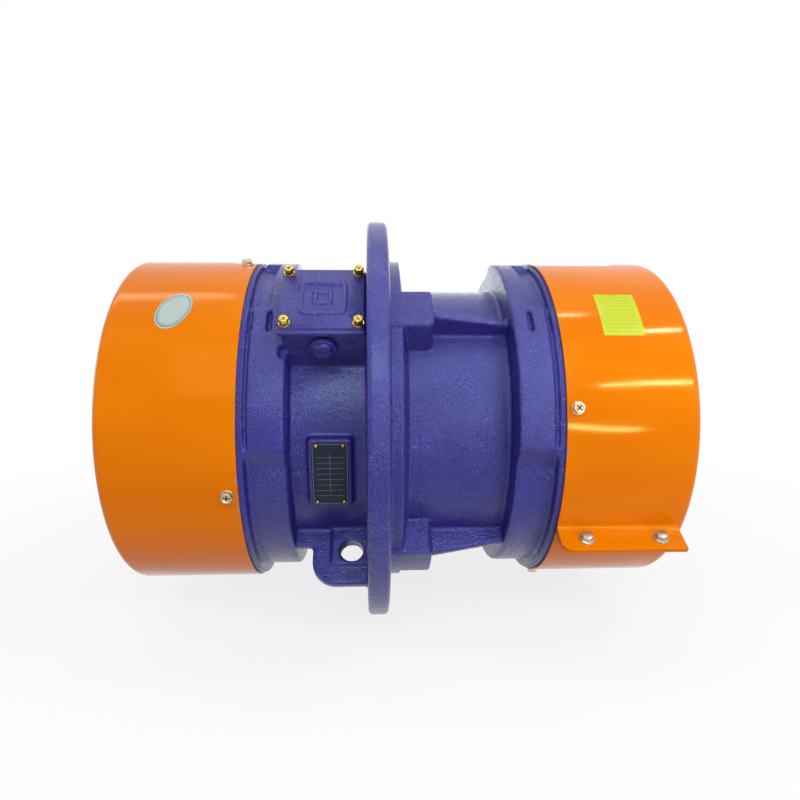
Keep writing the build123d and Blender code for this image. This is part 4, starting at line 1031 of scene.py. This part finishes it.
def set_world():
    """An even pale studio round the motor, white where it is seen."""
    world = bpy.data.worlds.new("studio")
    bpy.context.scene.world = world
    world.use_nodes = True
    tree = world.node_tree
    tree.nodes.clear()
    strength = add(tree, "MapRange", {"To Min": 0.31}, {"Value": seen_rays(tree)})
    sky = add(tree, "Background", {"Color": [1, 1, 1, 1]}, {"Strength": strength})
    add(tree, "OutputWorld", {}, {"Surface": sky})


LAMP_COLOUR = (0.90, 0.98, 1.0)
LAMPS = (
    # name, place, size along the shaft, size across, watts
    ("lamp_front", (0.0, -1.55, 1.35), 1.7, 1.3, 10.8),
    ("lamp_back", (0.2, 2.0, 0.35), 1.6, 0.9, 5.0),
    ("lamp_above", (-0.08, -0.12, 1.6), 0.55, 0.45, 2.6),
    ("lamp_left", (-1.6, -1.1, 0.7), 0.8, 0.8, 2.1),
    ("lamp_right", (1.6, -1.1, 0.7), 0.8, 0.8, 1.7),
    ("lamp_left_end", (-1.9, 0.35, 0.3), 0.8, 0.8, 4.5),
    ("lamp_waist", (-0.10, -1.2, 0.74), 0.44, 0.50, 3.2),
    ("tube_overhead", (0.47, -0.16, 1.25), 0.22, 0.03, 1.4),
    ("tube_high", (0.79, -0.46, 1.06), 0.14, 0.045, 2.0),
    ("tube_front", (0.90, -1.22, 0.74), 0.34, 0.055, 5.0),
    ("tube_low", (0.67, -1.45, 0.05), 0.34, 0.08, 4.4),
    ("tube_left", (-0.66, 0.13, 1.15), 0.6, 0.14, 1.4),
)


def add_lamps():
    """Soft boxes round the motor, and narrow tubes whose streaks show in the covers' gloss."""
    for name, place, along, across, power in LAMPS:
        data = bpy.data.lights.new(name, "AREA")
        data.shape = "RECTANGLE"
        data.size = along
        data.size_y = across
        data.energy = power
        data.color = LAMP_COLOUR
        lamp = bpy.data.objects.new(name, data)
        bpy.context.scene.collection.objects.link(lamp)
        facing = -Vector(place)
        back = -facing.normalized()
        sideways = Vector((1, 0, 0)) - back * back.x
        sideways.normalize()
        lamp.matrix_world = Matrix.Translation(place) @ Matrix(
            (sideways, back.cross(sideways), back)).transposed().to_4x4()


def add_camera(stage):
    """The photo's camera: above the shaft, a little left of the flange, turned slightly right."""
    data = bpy.data.cameras.new("photo_camera")
    data.lens = stage.camera_lens
    data.sensor_width = 36
    camera = bpy.data.objects.new("photo_camera", data)
    bpy.context.scene.collection.objects.link(camera)
    camera.matrix_world = (
        Matrix.Rotation(-stage.camera_rise, 4, "X")
        @ Matrix.Translation((stage.camera_x, -stage.camera_distance, 0))
        @ Matrix.Rotation(-stage.camera_yaw, 4, "Z")
        @ Matrix.Rotation(pi / 2 + stage.camera_pitch, 4, "X")
        @ Matrix.Rotation(stage.camera_roll, 4, "Z"))
    bpy.context.scene.camera = camera
    bpy.context.scene.view_settings.view_transform = "Standard"


class MOTOR_PT_panel(bpy.types.Panel):
    """Lists the motor's pieces, colours and sizes"""
    bl_label = "Vibration motor"
    bl_space_type = "VIEW_3D"
    bl_region_type = "UI"
    bl_category = "Vibration motor"

    def draw(self, context):
        layout = self.layout
        for operator in OPERATORS:
            layout.operator(operator.bl_idname)
        for group in (context.scene.motor_paint, context.scene.motor_sizes, context.scene.motor_stage):
            for name in group.__annotations__:
                layout.prop(group, name)


OPERATORS = (MOTOR_OT_finishes, MOTOR_OT_castings, MOTOR_OT_lid, MOTOR_OT_covers, MOTOR_OT_screws,
             MOTOR_OT_seam_bolts, MOTOR_OT_nameplate, MOTOR_OT_labels, MOTOR_OT_stage)
CLASSES = (MotorPaint, MotorSizes, MotorStage) + OPERATORS + (MOTOR_PT_panel,)


def register():
    """Registers the classes and hangs the property groups on the scene."""
    for cls in CLASSES:
        bpy.utils.register_class(cls)
    bpy.types.Scene.motor_paint = bpy.props.PointerProperty(type=MotorPaint)
    bpy.types.Scene.motor_sizes = bpy.props.PointerProperty(type=MotorSizes)
    bpy.types.Scene.motor_stage = bpy.props.PointerProperty(type=MotorStage)


def unregister():
    """Takes the classes and property groups away again."""
    del bpy.types.Scene.motor_stage
    del bpy.types.Scene.motor_sizes
    del bpy.types.Scene.motor_paint
    for cls in reversed(CLASSES):
        bpy.utils.unregister_class(cls)


def main():
    """Builds the whole dressed motor."""
    register()
    for operator in OPERATORS:
        group, name = operator.bl_idname.split(".")
        getattr(getattr(bpy.ops, group), name)()


if __name__ == "__main__":
    main()
